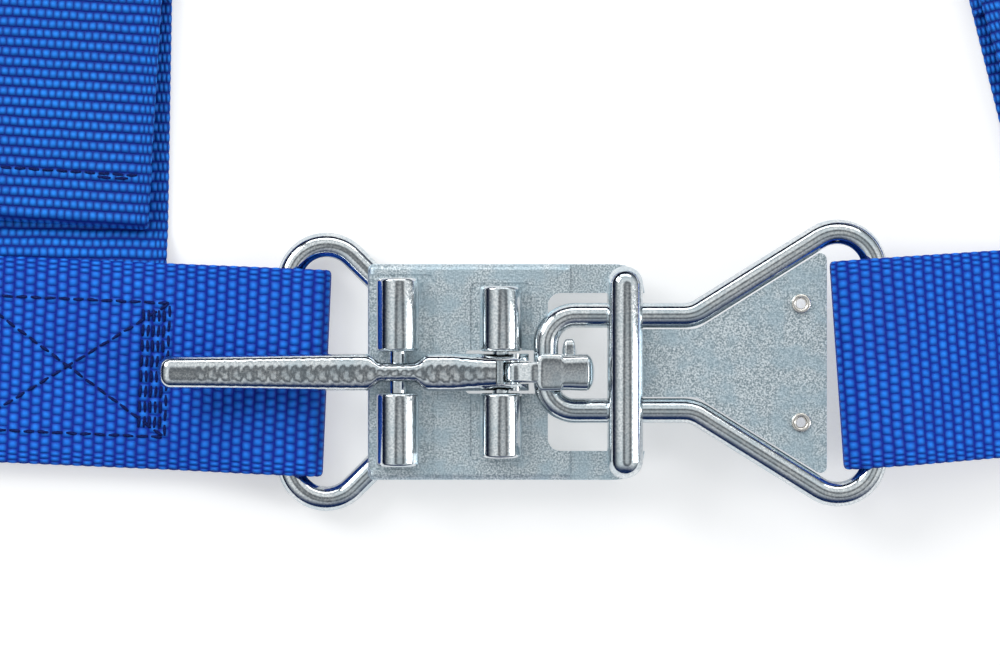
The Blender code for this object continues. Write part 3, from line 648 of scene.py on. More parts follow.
def soften(node: Piece, material: Material, width: float) -> None:
    """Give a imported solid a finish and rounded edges.

    Args:
        node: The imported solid's object.
        material: Its new material.
        width: Width of the rounding.
    """
    for slot in node.material_slots:
        slot.material = material
    weld = node.modifiers.new("weld", "WELD")
    weld.merge_threshold = WELD
    edges = node.modifiers.new("rounded_edges", "BEVEL")
    edges.width = width
    edges.segments = BEVEL_SEGMENTS
    edges.limit_method = "ANGLE"
    edges.angle_limit = math.radians(BEVEL_ANGLE)
    edges.use_clamp_overlap = True
    normals = node.modifiers.new("even_normals", "WEIGHTED_NORMAL")
    normals.keep_sharp = True


@dataclass(frozen=True)
class Forging:
    """A forged bar along X whose rounded section changes on the way.

    Attributes:
        along: Places of its sections along X.
        half: Half its width, at each or everywhere.
        low: Height of its underside, at each or everywhere.
        high: Height of its top, at each or everywhere.
        middle: Place of its middle along Y.
        power: How square the section is, from 2 for an ellipse.
        ends: How long its rounded left and right ends are.
    """

    along: np.ndarray
    half: Values
    low: Values
    high: Values
    middle: float
    power: float
    ends: Pair

    # Points in a section, and how much of an end is rounded
    forged_sides: int = 48
    end_share: float = 0.995

    def surface(self) -> Shape:
        """Skin the sections.

        A section is a superellipse, |y / half|^power + |z / height|^power = 1, and both half sizes shrink to
        the ends by sqrt(1 - t * t), where t runs from 0 to 1 over an end.

        Returns:
            The points, one row each, and the faces.
        """
        sizes = (self.half, self.low, self.high)
        half, low, high = (np.broadcast_to(size, self.along.shape) for size in sizes)
        left = np.clip(1.0 - (self.along - self.along[0]) / self.ends[0], 0.0, 1.0)
        right = np.clip(1.0 - (self.along[-1] - self.along) / self.ends[1], 0.0, 1.0)
        shrink = np.sqrt(1.0 - (self.end_share * np.maximum(left, right)) ** 2)
        turns = full_turn(self.forged_sides)
        waves = (np.cos(turns), np.sin(turns))
        wide, tall = (np.sign(wave) * np.abs(wave) ** (2 / self.power) for wave in waves)
        y = self.middle + np.outer(half * shrink, wide)
        z = (low + high)[:, None] / 2 + np.outer((high - low) / 2 * shrink, tall)
        return lofted(np.stack([np.broadcast_to(self.along[:, None], y.shape), y, z], axis=-1))


@dataclass(frozen=True)
class Drum:
    """A round bar along Y with rounded ends, cut off flat at its foot.

    Attributes:
        x: Place of its middle along X.
        z: Height of its middle.
        radius: Its radius.
        start: Where it starts along Y.
        end: Where it ends.
        edge: Radius of its end edges.
        foot: Lowest height, where it stands in its plate.
    """

    x: float
    z: float
    radius: float
    start: float
    end: float
    edge: float
    foot: float

    # Points in a section, and sections in a rounded end
    drum_sides: int = 64
    drum_steps: int = 9

    def surface(self) -> Shape:
        """Skin the bar: a circle whose radius falls by a quarter round over each end's edge.

        Returns:
            The points, one row each, and the faces.
        """
        near = self.start + self.edge * rounding(self.drum_steps)
        y = np.concatenate([near, self.start + self.end - near[::-1]])
        inset = np.minimum(y - self.start, self.end - y)
        dip = 1.0 - np.clip(inset / self.edge, 0.0, 1.0)
        radius = self.radius - self.edge * (1.0 - np.sqrt(1.0 - dip * dip))
        turns = full_turn(self.drum_sides)
        x = self.x + np.outer(radius, np.cos(turns))
        z = np.maximum(self.z + np.outer(radius, np.sin(turns)), self.foot)
        return lofted(np.stack([x, np.broadcast_to(y[:, None], x.shape), z], axis=-1))


@dataclass(frozen=True)
class Ground:
    """A place on the table with a heading.

    Attributes:
        x: Place along X.
        y: Place along Y.
        turn: Heading in degrees.
    """

    x: float
    y: float
    turn: float

    def put(self, along: Values, across: Values, height: Values) -> np.ndarray:
        """Turn a belt's own places into places in the shared frame.

        Args:
            along: Distances along the heading.
            across: Distances to its left.
            height: Heights above the table.

        Returns:
            Places, one row each.
        """
        angle = math.radians(self.turn)
        x = self.x + np.asarray(along) * math.cos(angle) - np.asarray(across) * math.sin(angle)
        y = self.y + np.asarray(along) * math.sin(angle) + np.asarray(across) * math.cos(angle)
        return np.stack(np.broadcast_arrays(x, y, height), axis=-1)

    def ahead(self, along: float, turn: float) -> "Ground":
        """Find a place by its distance along the heading, and give it a heading of its own."""
        x, y, _ = self.put(along, 0.0, 0.0)
        return Ground(float(x), float(y), turn)

    def beside(self, shift: float, turn: float) -> "Ground":
        """Find a place on the heading's line by its distance along X, and give it a heading of its own."""
        return Ground(self.x + shift, self.y + shift * math.tan(math.radians(self.turn)), turn)


@dataclass(frozen=True)
class Ribbon:
    """A length of webbing that follows a path of bends and folds.

    Attributes:
        name: The object's name.
        ground: Where the path starts and which way it heads.
        corners: The path as (distance, height, radius).
        rib: Distance between the webbing's ribs.
    """

    name: str
    ground: Ground
    corners: list[Triple]
    rib: float

    # The ribs' section, and the steps across the rounded selvedges and the flat
    rib_valley: float = 0.80
    rib_swell: float = 0.18
    rib_wave: float = 0.16 * MM
    rib_rings: int = 4
    edge_round: float = 0.05
    edge_steps: Triple = (0.975, 0.993, 1.0)
    flat_steps: int = 13

    def build(self, material: Material) -> tuple[Piece, float]:
        """Make the webbing with ribs, soft selvedges and a map along and across it.

        Args:
            material: Its material.

        Returns:
            The object and the webbing's length.
        """
        line, places = resample(rounded_path(self.corners), self.rib / self.rib_rings)
        _, square = headings(np.gradient(line, axis=0))
        swell = np.abs(np.sin(np.pi * places / self.rib))
        half_thick = TABLE_LAYER * (self.rib_valley + self.rib_swell * swell)
        half_wide = WEB_WIDTH / 2 - self.rib_wave * (1.0 - swell)
        edge, flat = np.array(self.edge_steps), 1.0 - self.edge_round
        share = np.concatenate([-edge[::-1], np.linspace(-1.0, 1.0, self.flat_steps) * flat, edge])
        fall = np.clip(np.abs(share) - flat, 0.0, 1.0) / self.edge_round
        round_off = np.sqrt(np.clip(1.0 - fall ** 2, 0.0, 1.0))
        lift = np.concatenate([round_off, -round_off[-2:0:-1]])
        along = line[:, :1] + square[:, :1] * half_thick[:, None] * lift
        height = line[:, 1:] + square[:, 1:] * half_thick[:, None] * lift
        wide = half_wide[:, None] * np.concatenate([share, share[-2:0:-1]])
        points = self.ground.put(along, wide, height).reshape(-1, 3)
        rings, sides = wide.shape
        faces = grid_faces(rings, sides, False)
        for base in (0, (rings - 1) * sides):
            for place in range(len(share) - 1):
                below = ((sides - place - 1) % sides, (sides - place) % sides)
                cap = [base + corner for corner in dict.fromkeys((place, place + 1, *below))]
                faces.append(tuple(cap if base > 0 else reversed(cap)))
        piece = make_piece(self.name, points, faces, material, NEVER_SHARP)
        belt = piece.data.uv_layers.new(name=BELT_MAP)
        corner_points = np.empty(len(piece.data.loops), dtype=np.int32)
        piece.data.loops.foreach_get("vertex_index", corner_points)
        chart = np.stack(np.broadcast_arrays(places[:, None], wide), axis=-1).reshape(-1, 2)
        belt.data.foreach_set("uv", chart[corner_points].astype(np.float32).ravel())
        return piece, float(places[-1])


@dataclass(frozen=True)
class Wire:
    """A round wire bent in a flat plane.

    Attributes:
        node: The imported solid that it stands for.
        body: The body that carries it.
        corners: The wire's middle line as (x, y, radius).
        height: Height of its middle.
        closed: Whether it is a ring.
    """

    node: str
    body: str
    corners: list[Triple]
    height: float
    closed: bool

    # Largest turn between two points in degrees, and the wire's diameter
    wire_step: float = 5.0
    wire_dia: float = 6.0 * MM

    def build(self, material: Material) -> Piece:
        """Make the wire.

        Args:
            material: Its material.

        Returns:
            The new object.
        """
        if self.closed:
            path = rounded_path([self.corners[-1], *self.corners, self.corners[0]], self.wire_step)[1:-1]
            steps = np.roll(path, -1, axis=0) - np.roll(path, 1, axis=0)
        else:
            path = rounded_path(self.corners, self.wire_step)
            steps = np.gradient(path, axis=0)
        _, left = headings(steps)
        turns = full_turn(ROUND_SIDES)
        radius = self.wire_dia / 2
        flat = path[:, None, :] - left[:, None, :] * (np.cos(turns) * radius)[None, :, None]
        height = np.broadcast_to(self.height + np.sin(turns) * radius, flat.shape[:2])
        rings = np.concatenate([flat, height[..., None]], axis=-1)
        return make_piece(self.node + "_bent", *lofted(rings, self.closed), material, ROUND_SHARP)


@dataclass(frozen=True)
class Rivet:
    """A tubular rivet with rolled rims.

    Attributes:
        node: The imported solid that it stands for.
        x: Place along X.
        y: Place along Y.
        height: Height of the sheet's middle.
    """

    node: str
    x: float
    y: float
    height: float

    # Half the rim's outline as (radius, height), in millimetres
    rivet_rim: tuple = (
        (1.80, 1.30), (2.20, 1.32), (2.40, 1.50), (2.38, 1.80), (2.15, 2.05), (1.80, 2.10), (1.45, 2.00),
        (1.22, 1.75),
    )

    def build(self, material: Material) -> Piece:
        """Make the rivet.

        Args:
            material: Its material.

        Returns:
            The new object.
        """
        rim = [*self.rivet_rim, *((radius, -height) for radius, height in reversed(self.rivet_rim))]
        radius, height = np.array(rim).T * MM
        turns = full_turn(ROUND_SIDES)
        rings = np.stack([
            self.x + np.outer(np.cos(turns), radius),
            self.y + np.outer(np.sin(turns), radius),
            self.height + np.broadcast_to(height, (len(turns), len(rim))),
        ], axis=-1)
        points, faces = lofted(rings, True)
        outward = [tuple(reversed(face)) for face in faces]
        return make_piece(self.node + "_rolled", points, outward, material, ROUND_SHARP)


@dataclass(frozen=True)
class Seam:
    """A line of stitches on a belt.

    Attributes:
        start: Where it starts, as distance along and across the belt.
        end: Where it ends.
        height: Height of the webbing's top.
    """

    start: Pair
    end: Pair
    height: float

    # Sizes of a stitch, and a spindle's steps as (share of its length, swell, sink)
    thread_sides: int = 6
    stitch_length: float = 3.2 * MM
    stitch_gap: float = 0.3 * MM
    stitch_lean: float = 0.3
    thread: float = 0.42 * MM
    spindle: tuple = (
        (0.0, 0.35, -0.9), (0.12, 0.85, -0.25), (0.5, 1.0, 0.1), (0.88, 0.85, -0.25), (1.0, 0.35, -0.9),
    )

    def stitches(self) -> Iterator[np.ndarray]:
        """Lay spindles of thread in a row.

        Yields:
            Each stitch's rings: points as along, across and height, by ring and side.
        """
        start = np.array(self.start)
        line = np.array(self.end) - start
        reach = float(np.linalg.norm(line))
        ahead = line / reach
        side = np.array([-ahead[1], ahead[0]])
        turns = full_turn(self.thread_sides)
        steps, swell, sink = np.array(self.spindle).T
        pitch = self.stitch_length + self.stitch_gap
        count = max(1, round(reach / pitch))
        for number in range(count):
            places = (number + steps * self.stitch_length / pitch) * reach / count
            lean = np.linspace(-self.stitch_lean, self.stitch_lean, len(steps)) * self.thread * (-1) ** number
            flat = start + places[:, None] * ahead + lean[:, None] * side
            ring = flat[:, None, :] + np.outer(swell * self.thread, np.cos(turns))[..., None] * side
            high = self.height + (sink * self.thread)[:, None] + np.outer(swell * self.thread, np.sin(turns))
            yield np.concatenate([ring, high[..., None]], axis=-1)


def sew(name: str, ground: Ground, seams: list[Seam], material: Material) -> Piece:
    """Sew seams on a belt.

    Args:
        name: The object's name.
        ground: The belt's start and heading.
        seams: The seams.
        material: The thread's material.

    Returns:
        One object with every stitch.
    """
    points, faces = [], []
    for seam in seams:
        for rings in seam.stitches():
            base = len(points)
            spindle, sides = lofted(rings)
            points.extend(ground.put(*spindle.T))
            faces += [tuple(base + corner for corner in face) for face in sides]
    return make_piece(name, points, faces, material, NEVER_SHARP)


def box_and_cross(middle: Pair, height: float) -> list[Seam]:
    """List the seams of a sewn box with a cross in it and a dense tack at its near end.

    Args:
        middle: Middle of the box, along and across the belt.
        height: Height of the webbing's top.

    Returns:
        The seams.
    """
    along, across = middle
    start, end = along - BOX_HALF[0], along + BOX_HALF[0]
    low, high = across - BOX_HALF[1], across + BOX_HALF[1]
    corners = [(start, low), (end, low), (end, high), (start, high)]
    seams = [Seam(corners[k], corners[(k + 1) % 4], height) for k in range(4)]
    seams += [Seam(corners[0], corners[2], height), Seam(corners[1], corners[3], height)]
    for row in range(1, TACK_ROWS + 1):
        place = start + row * TACK_STEP
        seams.append(Seam((place, low + TACK_INSET), (place, high - TACK_INSET), height))
    return seams


def hank(start: float) -> list[Triple]:
    """Fold webbing to and fro down to the table, and sew it round an anchor plate's bar.

    Args:
        start: Where the folds start along the belt.

    Returns:
        Corners as (distance, height, radius).
    """
    height = TABLE_LAYER + (HANK_RUNS - 1) * HANK_PITCH
    corners = [(start - HANK_LEAD, height, BEND)]
    for fold in range(HANK_RUNS - 1):
        end = start + HANK_RUN if fold % 2 == 0 else start
        corners += [(end, height, HANK_PITCH / 2), (end, height - HANK_PITCH, HANK_PITCH / 2)]
        height -= HANK_PITCH
    turn = start + HANK_RUN + ANCHOR_LEAD
    top = height + 2 * ANCHOR_LOOP
    slope = turn - 2 * ANCHOR_LOOP
    return corners + [
        (turn, height, ANCHOR_LOOP), (turn, top, ANCHOR_LOOP), (slope, top, BEND),
        (slope - ANCHOR_SLOPE, height + LAYER, BEND), (slope - ANCHOR_TAIL, height + LAYER, 0.0),
    ]


@dataclass(frozen=True)
class BeltSide:
    """One side's lap belt, shoulder strap and shoulder belt, with their seams.

    Attributes:
        side: Which side it is.
        bar: The lap belt's bar and heading.
        bar_height: Height of the bar's middle.
        join: Where the lap belt covers the shoulder strap, from and to.
        hank_start: Where the lap belt's hank starts.
        shoulder: The shoulder strap's place on the lap belt, and its heading.
        drop: Where the shoulder strap comes down to the table.
        tail: Where the shoulder belt's tail ends.
        skew: How far the shoulder belt turns from the strap, in degrees.
        box: Middle of the sewn box, along and across the lap belt.
    """

    side: Side
    bar: Ground
    bar_height: float
    join: Pair
    hank_start: float
    shoulder: Ground
    drop: float
    tail: float
    skew: float
    box: Pair

    # The belts' paths, and the seams' places and sizes
    belt_loop: float = 4.2 * MM
    loop_slack: float = 4.2 * MM
    bar_lead: float = 7.0 * MM
    join_lead: float = 8.0 * MM
    join_tail: float = 2.0 * MM
    adjuster_middle: float = 135.0 * MM
    strap_start: float = -18.0 * MM
    strap_fall: float = 6.0 * MM
    strap_turn: float = 124.875 * MM
    strap_loop: float = 2.7 * MM
    strap_back: Triple = (116.0 * MM, 106.0 * MM, 88.0 * MM)
    tail_hem: float = 15.0 * MM
    over_adjuster: tuple = (
        (100.0 * MM, SEWN + HANK_PITCH, EASE), (112.0 * MM, 8.4 * MM, EASE), (132.0 * MM, 8.4 * MM, 3.0 * MM),
        (139.0 * MM, 7.35 * MM, 2.0 * MM), (145.0 * MM, TABLE_LAYER, 3.0 * MM),
        (155.0 * MM, TABLE_LAYER, BEND),
    )
    shoulder_hank: float = 174.0 * MM
    stitch_sink: float = 0.1 * MM
    hem_place: float = 12.0 * MM
    hem_half: float = 22.0 * MM
    hem_back: float = 0.9 * MM
    hem_back_span: Pair = (-20.0 * MM, -11.5 * MM)
    end_place: float = 20.0 * MM
    end_half: float = 21.0 * MM
    end_rows: Triple = (-6.0 * MM, 0.0, 6.0 * MM)

    def lap_corners(self) -> list[Triple]:
        """Give the lap belt's path.

        Returns:
            Corners as (distance, height, radius).
        """
        low = self.bar_height - self.belt_loop
        high = self.bar_height + self.belt_loop
        turn = -self.loop_slack - self.belt_loop
        cover = TABLE_LAYER + 2 * LAYER
        start, end = self.join
        return [
            (end, TABLE_LAYER, 0.0), (start - self.join_lead, TABLE_LAYER, EASE), (self.bar_lead, low, EASE),
            (turn, low, self.belt_loop), (turn, high, self.belt_loop), (self.bar_lead, high, EASE),
            (start, cover, EASE), (end + self.join_tail, cover, BEND), *hank(self.hank_start),
        ]

    def strap_corners(self) -> list[Triple]:
        """Give the shoulder strap's path.

        Returns:
            Corners as (distance, height, radius).
        """
        turn, radius = self.strap_turn, self.strap_loop
        high = TABLE_LAYER + 2 * radius
        slope, foot, end = self.strap_back
        return [
            (self.strap_start, SEWN, 0.0), (self.drop, SEWN, BEND),
            (self.drop + self.strap_fall, TABLE_LAYER, BEND), (turn, TABLE_LAYER, radius),
            (turn, high, radius), (slope, high, BEND), (foot, SEWN, BEND), (end, SEWN, 0.0),
        ]

    def belt_corners(self) -> list[Triple]:
        """Give the shoulder belt's path, from the adjuster's middle.

        Returns:
            Corners as (distance, height, radius).
        """
        fold = HANK_PITCH / 2
        corners = [
            (self.tail + self.tail_hem, SEWN, 0.0), (self.tail, SEWN, fold),
            (self.tail, SEWN + HANK_PITCH, fold), *self.over_adjuster, *hank(self.shoulder_hank),
        ]
        return [(place - self.adjuster_middle, height, radius) for place, height, radius in corners]

    def build(self, lap: Cloth, shoulder: Cloth, thread: Material) -> None:
        """Make this side's webbing and seams, and let them ride on its body.

        Args:
            lap: Finish and material of the lap belt.
            shoulder: Finish and material of the shoulder strap and belt.
            thread: Material of the thread.
        """
        name = self.side.value
        body = name + "_belt"
        middle = self.shoulder.ahead(self.adjuster_middle, self.shoulder.turn + self.skew)
        pieces = (
            ("lap_belt", self.bar, self.lap_corners(), lap),
            ("shoulder_strap", self.shoulder, self.strap_corners(), shoulder),
            ("shoulder_belt", middle, self.belt_corners(), shoulder),
        )
        for label, ground, corners, (finish, material) in pieces:
            piece, length = Ribbon(f"{name}_{label}_webbing", ground, corners, finish.rib).build(material)
            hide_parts(f"{name}_{label}")
            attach(piece, body)
            LOG.info("%s is %.0f mm long", piece.name, length / MM)
        for label, ground, seams in self.seams(middle):
            piece = sew(f"{name}_{label}_stitches", ground, seams, thread)
            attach(piece, body)

    def seams(self, middle: Ground) -> list[tuple[str, Ground, list[Seam]]]:
        """List this side's seams: the lap belt's box, the tail's hem and the rows at the anchor plates.

        Args:
            middle: The adjuster's middle and the shoulder belt's heading.

        Returns:
            For each object of stitches a label, the place that it is measured from, and its seams.
        """
        end_top = TABLE_LAYER + SEWN - self.stitch_sink
        tail_top = end_top + HANK_PITCH
        lap_top = end_top + LAYER
        hem = self.tail + self.hem_place - self.adjuster_middle
        back = hem - self.hem_back
        near, far = self.hem_back_span
        hem_seams = [
            Seam((hem, -self.hem_half), (hem, self.hem_half), tail_top),
            Seam((back, near), (back, far), tail_top),
        ]
        rows = [("lap_box", self.bar, box_and_cross(self.box, lap_top)), ("hem", middle, hem_seams)]
        hanks = (("lap_end", self.bar, self.hank_start),
                 ("shoulder_end", middle, self.shoulder_hank - self.adjuster_middle))
        for label, ground, start in hanks:
            sewn = start + HANK_RUN + ANCHOR_LEAD - 2 * ANCHOR_LOOP - self.end_place
            places = [sewn + row for row in self.end_rows]
            ends = [Seam((place, -self.end_half), (place, self.end_half), end_top) for place in places]
            rows.append((label, ground, ends))
        return rows


def middle_of(node: str) -> Pair:
    """Give the middle (x, z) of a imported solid's box."""
    low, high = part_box(node)
    return (low[0] + high[0]) / 2, (low[2] + high[2]) / 2


@dataclass(frozen=True)
class Latch:
    """The lever, the hook, the knuckles and the bead, as forged and rounded pieces over their solids.

    Attributes:
        y: Place of the buckle's middle along Y.
        pin: The lever pin's middle as (x, z).
        rest: The rest pin's middle.
        hook_pin: The hook pin's middle.
        lever: Corners of the lever's box.
        hook: Corners of the hook's box.
        plate: Corners of the latch plate's box.
    """

    y: float
    pin: Pair
    rest: Pair
    hook_pin: Pair
    lever: tuple
    hook: tuple
    plate: tuple

    # Sizes in plan and section, measured from the pins where a place is meant
    neck_steps: int = 40
    lug_steps: int = 24
    drum_sharp: float = 50.0
    pin_bore: float = 4.6 * MM
    hook_bore: float = 3.0 * MM
    inset: float = 0.2 * MM
    lever_tip: float = 3.2 * MM
    lever_step: float = 0.4 * MM
    lever_thick: float = 7.0 * MM
    lever_taper: float = 0.6 * MM
    lever_neck: float = 2.3 * MM
    lever_power: float = 2.8
    nose_round: float = 2.0 * MM
    nose_end: float = 0.3 * MM
    nose_least: float = 0.1 * MM
    heel_angle: float = math.radians(30.0)
    heel_slope: float = 5.0 * MM
    waist: float = 7.5 * MM
    fork_root: float = -1.2 * MM
    fork_width: float = 5.5 * MM
    hammer_depth: float = 0.14 * MM
    hammer_marks: tuple = (
        (0.040 * MM, 2.9 * MM, 0.35), (0.035 * MM, 1.9 * MM, -0.55), (0.025 * MM, 1.3 * MM, 0.9),
    )
    struck_tip: Pair = (6.0 * MM, 14.0 * MM)
    struck_pin: float = 6.0 * MM
    struck_top: Pair = (1.6 * MM, 0.4 * MM)
    hook_head: float = 8.0 * MM
    hook_inner: float = 14.4 * MM
    hook_thick: float = 2.4 * MM
    hook_round: float = 2.0 * MM
    hook_step: float = 0.25 * MM
    hook_drop: float = 0.5 * MM
    hook_swell: float = 0.03
    hook_power: float = 4.0
    eye: float = 2.4 * MM
    eye_least: float = 0.3 * MM
    neck: float = 4.9 * MM
    neck_end: float = 0.1 * MM
    neck_power: float = 6.0
    lug_length: float = 3.8 * MM
    lug_height: float = 4.0 * MM
    lug_round: float = 1.2 * MM
    knuckle_dia: float = 10.3 * MM
    knuckle_inner: float = 4.95 * MM
    rest_knuckle: float = 22.6 * MM
    nose_knuckle: float = 20.6 * MM
    knuckle_round: float = 0.9 * MM
    knuckle_foot: float = 9.2 * MM
    bridge_length: float = 10.0 * MM
    bead_dia: float = 8.6 * MM
    bead_span: float = 50.6 * MM
    bead_foot: float = 18.5 * MM

    def half_width(self) -> float:
        """Give half the lever's width."""
        return (self.lever[1][1] - self.lever[0][1]) / 2

    def make_lever(self, material: Material) -> Piece:
        """Forge the lever: a bar with hammer marks, a waist over the rest pin and a round forked nose.

        The nose is a circle round the pin. The bar's underside runs down to it from the heel, and meets it
        30 degrees below the pin, at half the radius.

        Args:
            material: Its material.

        Returns:
            The new object.
        """
        (tip, _, _), (nose, _, top) = self.lever
        pin_x, pin_z = self.pin
        radius = nose - pin_x
        half = self.half_width()
        along = sections(tip, nose, (self.lever_tip, self.nose_round), self.lever_step)
        circle = np.sqrt(np.maximum(radius ** 2 - (along - pin_x) ** 2, self.nose_least ** 2))
        high = np.where(along > pin_x, pin_z + circle, top - self.hammer_depth)
        heel = pin_x - radius * math.cos(self.heel_angle)
        slope = between(along, pin_x - radius - self.heel_slope, heel)
        low = np.where(along > heel, pin_z - circle, top - self.lever_thick - slope * radius / 2)
        waist = between(np.abs(along - self.rest[0]), self.waist / 2, self.waist)
        wide = (half - self.lever_taper * (1.0 - between(along, tip, self.rest[0] - self.waist))) * waist
        wide += self.lever_neck * (1.0 - waist)
        bar = Forging(along, wide, low, high, self.y, self.lever_power, (self.lever_tip, self.nose_end))
        points, faces = bar.surface()
        x, y, z = points.T
        struck = between(x, tip + self.struck_tip[0], tip + self.struck_tip[1])
        struck *= 1.0 - between(x, pin_x - self.struck_pin, pin_x)
        struck *= between(z, top - self.struck_top[0], top - self.struck_top[1])
        for size, step, lean in self.hammer_marks:
            points[:, 2] += struck * size * np.sin(2 * math.pi * (x + lean * y) / step)
        piece = make_piece("latch_lever_forged", points, faces, material)
        bores = ((self.pin, self.pin_bore), (self.rest, self.pin_bore), (self.hook_pin, self.hook_bore))
        for (x, z), bore in bores:
            merge(piece, prism(disc(x, z, bore / 2), self.y - 2 * half, self.y + 2 * half), "DIFFERENCE")
        root, open_end = pin_x + self.fork_root, nose + radius
        fork = np.array([(root, 0.0), (open_end, 0.0), (open_end, 2 * top), (root, 2 * top)])
        merge(piece, prism(fork, self.y - self.fork_width / 2, self.y + self.fork_width / 2), "DIFFERENCE")
        shade(piece.data, SHARP)
        return piece

    def make_hook(self, material: Material) -> Piece:
        """Forge the hook: an eye and a neck in the fork, a rounded head, a tip that drops, and a lug.

        Args:
            material: Its material.

        Returns:
            The new object.
        """
        (_, _, tip), (end, reach, top) = self.hook
        eye_x, eye_z = self.hook_pin
        start, inner = self.pin[0] + self.hook_head, self.pin[0] + self.hook_inner
        under = top - self.hook_thick
        half = self.half_width()
        ends = (self.hook_round, self.hook_round)
        along = sections(start, end, ends, self.hook_step)
        low = under - between(along, inner, inner + self.hook_drop) * (under - tip)
        swell = half * (1.0 + self.hook_swell * np.cos(2 * math.pi * (along - start) / (end - start)))
        head = Forging(along, np.minimum(swell, half), low, top, self.y, self.hook_power, ends)
        piece = make_piece("latch_hook_forged", *head.surface(), material)

        eye, inset = self.eye, self.inset
        along = np.linspace(eye_x - eye, start + self.hook_round, self.neck_steps)
        circle = np.sqrt(np.maximum(eye ** 2 - (along - eye_x) ** 2, self.eye_least ** 2))
        right = between(along, eye_x, start)
        high = np.where(along < eye_x, eye_z + circle, eye_z + eye + right * (top - inset - eye_z - eye))
        low = np.maximum(eye_z - circle, eye_z - eye + right * (under + inset - eye_z + eye))
        ends = (self.neck_end, self.neck_end)
        neck = Forging(along, self.neck / 2, low, high, self.y, self.neck_power, ends)
        merge(piece, neck.surface(), "UNION")

        along = np.linspace(inner + inset, inner + self.lug_length, self.lug_steps)
        lug_half = (reach - self.y) / 2
        low, high = tip + inset, tip + self.lug_height
        ends = (self.lug_round, self.lug_round)
        lug = Forging(along, lug_half, low, high, self.y + lug_half, self.hook_power, ends)
        merge(piece, lug.surface(), "UNION")
        bore = disc(eye_x, eye_z, self.hook_bore / 2)
        merge(piece, prism(bore, self.y - half, self.y + half), "DIFFERENCE")
        shade(piece.data, SHARP)
        return piece

    def drums(self) -> list[tuple[str, Drum]]:
        """List the four knuckles and the bead across the bridge.

        Returns:
            Pairs of a name and a bar.
        """
        bars = []
        pairs = (("rest", self.rest, self.rest_knuckle), ("nose", self.pin, self.nose_knuckle))
        for label, (x, z), outer in pairs:
            for side, sign in (("upper", 1), ("lower", -1)):
                ends = sorted((self.y + sign * self.knuckle_inner, self.y + sign * outer))
                knuckle = Drum(x, z, self.knuckle_dia / 2, *ends, self.knuckle_round, self.knuckle_foot)
                bars.append((f"{label}_knuckle_{side}", knuckle))
        x = self.plate[1][0] - self.bridge_length / 2
        z = self.plate[1][2] - self.bead_dia / 2
        half = self.bead_span / 2
        bead = Drum(x, z, self.bead_dia / 2, self.y - half, self.y + half, self.bead_dia / 2, self.bead_foot)
        bars.append(("bridge_bead", bead))
        return bars

    def build(self, material: Material) -> None:
        """Make the pieces and let them ride on their bodies.

        Args:
            material: Material of forged steel.
        """
        for piece, node, body in ((self.make_lever(material), "latch_lever", "lever"),
                                  (self.make_hook(material), "latch_hook", "hook")):
            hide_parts(node)
            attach(piece, body)
        for name, bar in self.drums():
            piece = make_piece(name, *bar.surface(), material, self.drum_sharp)
            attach(piece, "latch")


@dataclass(frozen=True)
class Buckle:
    """The latch, the link and the belts' steel.

    Attributes:
        x: Place of the buckle's own zero along X.
        y: Place of its zero along Y.
    """

    x: float
    y: float

    # Rounded edges, half the wires' middle lines as (x, y, radius), and the rivets' place
    sheet_edge: float = 0.5 * MM
    pin_edge: float = 0.3 * MM
    loop_half: tuple = (
        (-17.0 * MM, 20.9 * MM, 0.0), (-29.7 * MM, 20.9 * MM, 5.0 * MM), (LOOP_BAR, 43.4 * MM, 9.0 * MM),
    )
    link_half: tuple = ((9.8 * MM, 11.4 * MM, 7.0 * MM), LINK_KNEE, (LINK_BAR, LINK_EDGE, 9.0 * MM))
    rivet_place: Pair = (70.8 * MM, 14.2 * MM)

    def outline(self, half: Sequence[Triple], shift: float) -> list[Triple]:
        """Mirror half a middle line, and put the whole of it into the shared frame, shifted to the side."""
        whole = [*half, *((x, -y, radius) for x, y, radius in reversed(half))]
        return [(self.x + x, self.y + y + shift, radius) for x, y, radius in whole]

    def build(self, frame: dict, satin: Material, bright: Material, rivet: Material) -> None:
        """Make the wires and rivets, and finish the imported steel.

        Args:
            frame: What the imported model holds.
            satin: Material of sheet faces.
            bright: Material of wires and pins.
            rivet: Material of the rivets.
        """
        loop = Wire("strap_loop", "latch", self.outline(self.loop_half, 0.0), LOOP_HEIGHT, False)
        link = Wire("link_wire", "link", self.outline(self.link_half, LINK_SHIFT), LINK_HEIGHT, True)
        for wire in (loop, link):
            piece = wire.build(bright)
            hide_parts(wire.node)
            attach(piece, wire.body)
        along, across = self.rivet_place
        for name, side in (("upper", 1), ("lower", -1)):
            y = self.y + LINK_SHIFT + side * across
            piece = Rivet("link_rivet_" + name, self.x + along, y, LINK_HEIGHT).build(rivet)
            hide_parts("link_rivet_" + name)
            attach(piece, "link")
        for name, node in frame["nodes"].items():
            if name.endswith("pin"):
                soften(node, bright, self.pin_edge)
            elif not name.endswith(("belt", "strap")):
                soften(node, satin, self.sheet_edge)


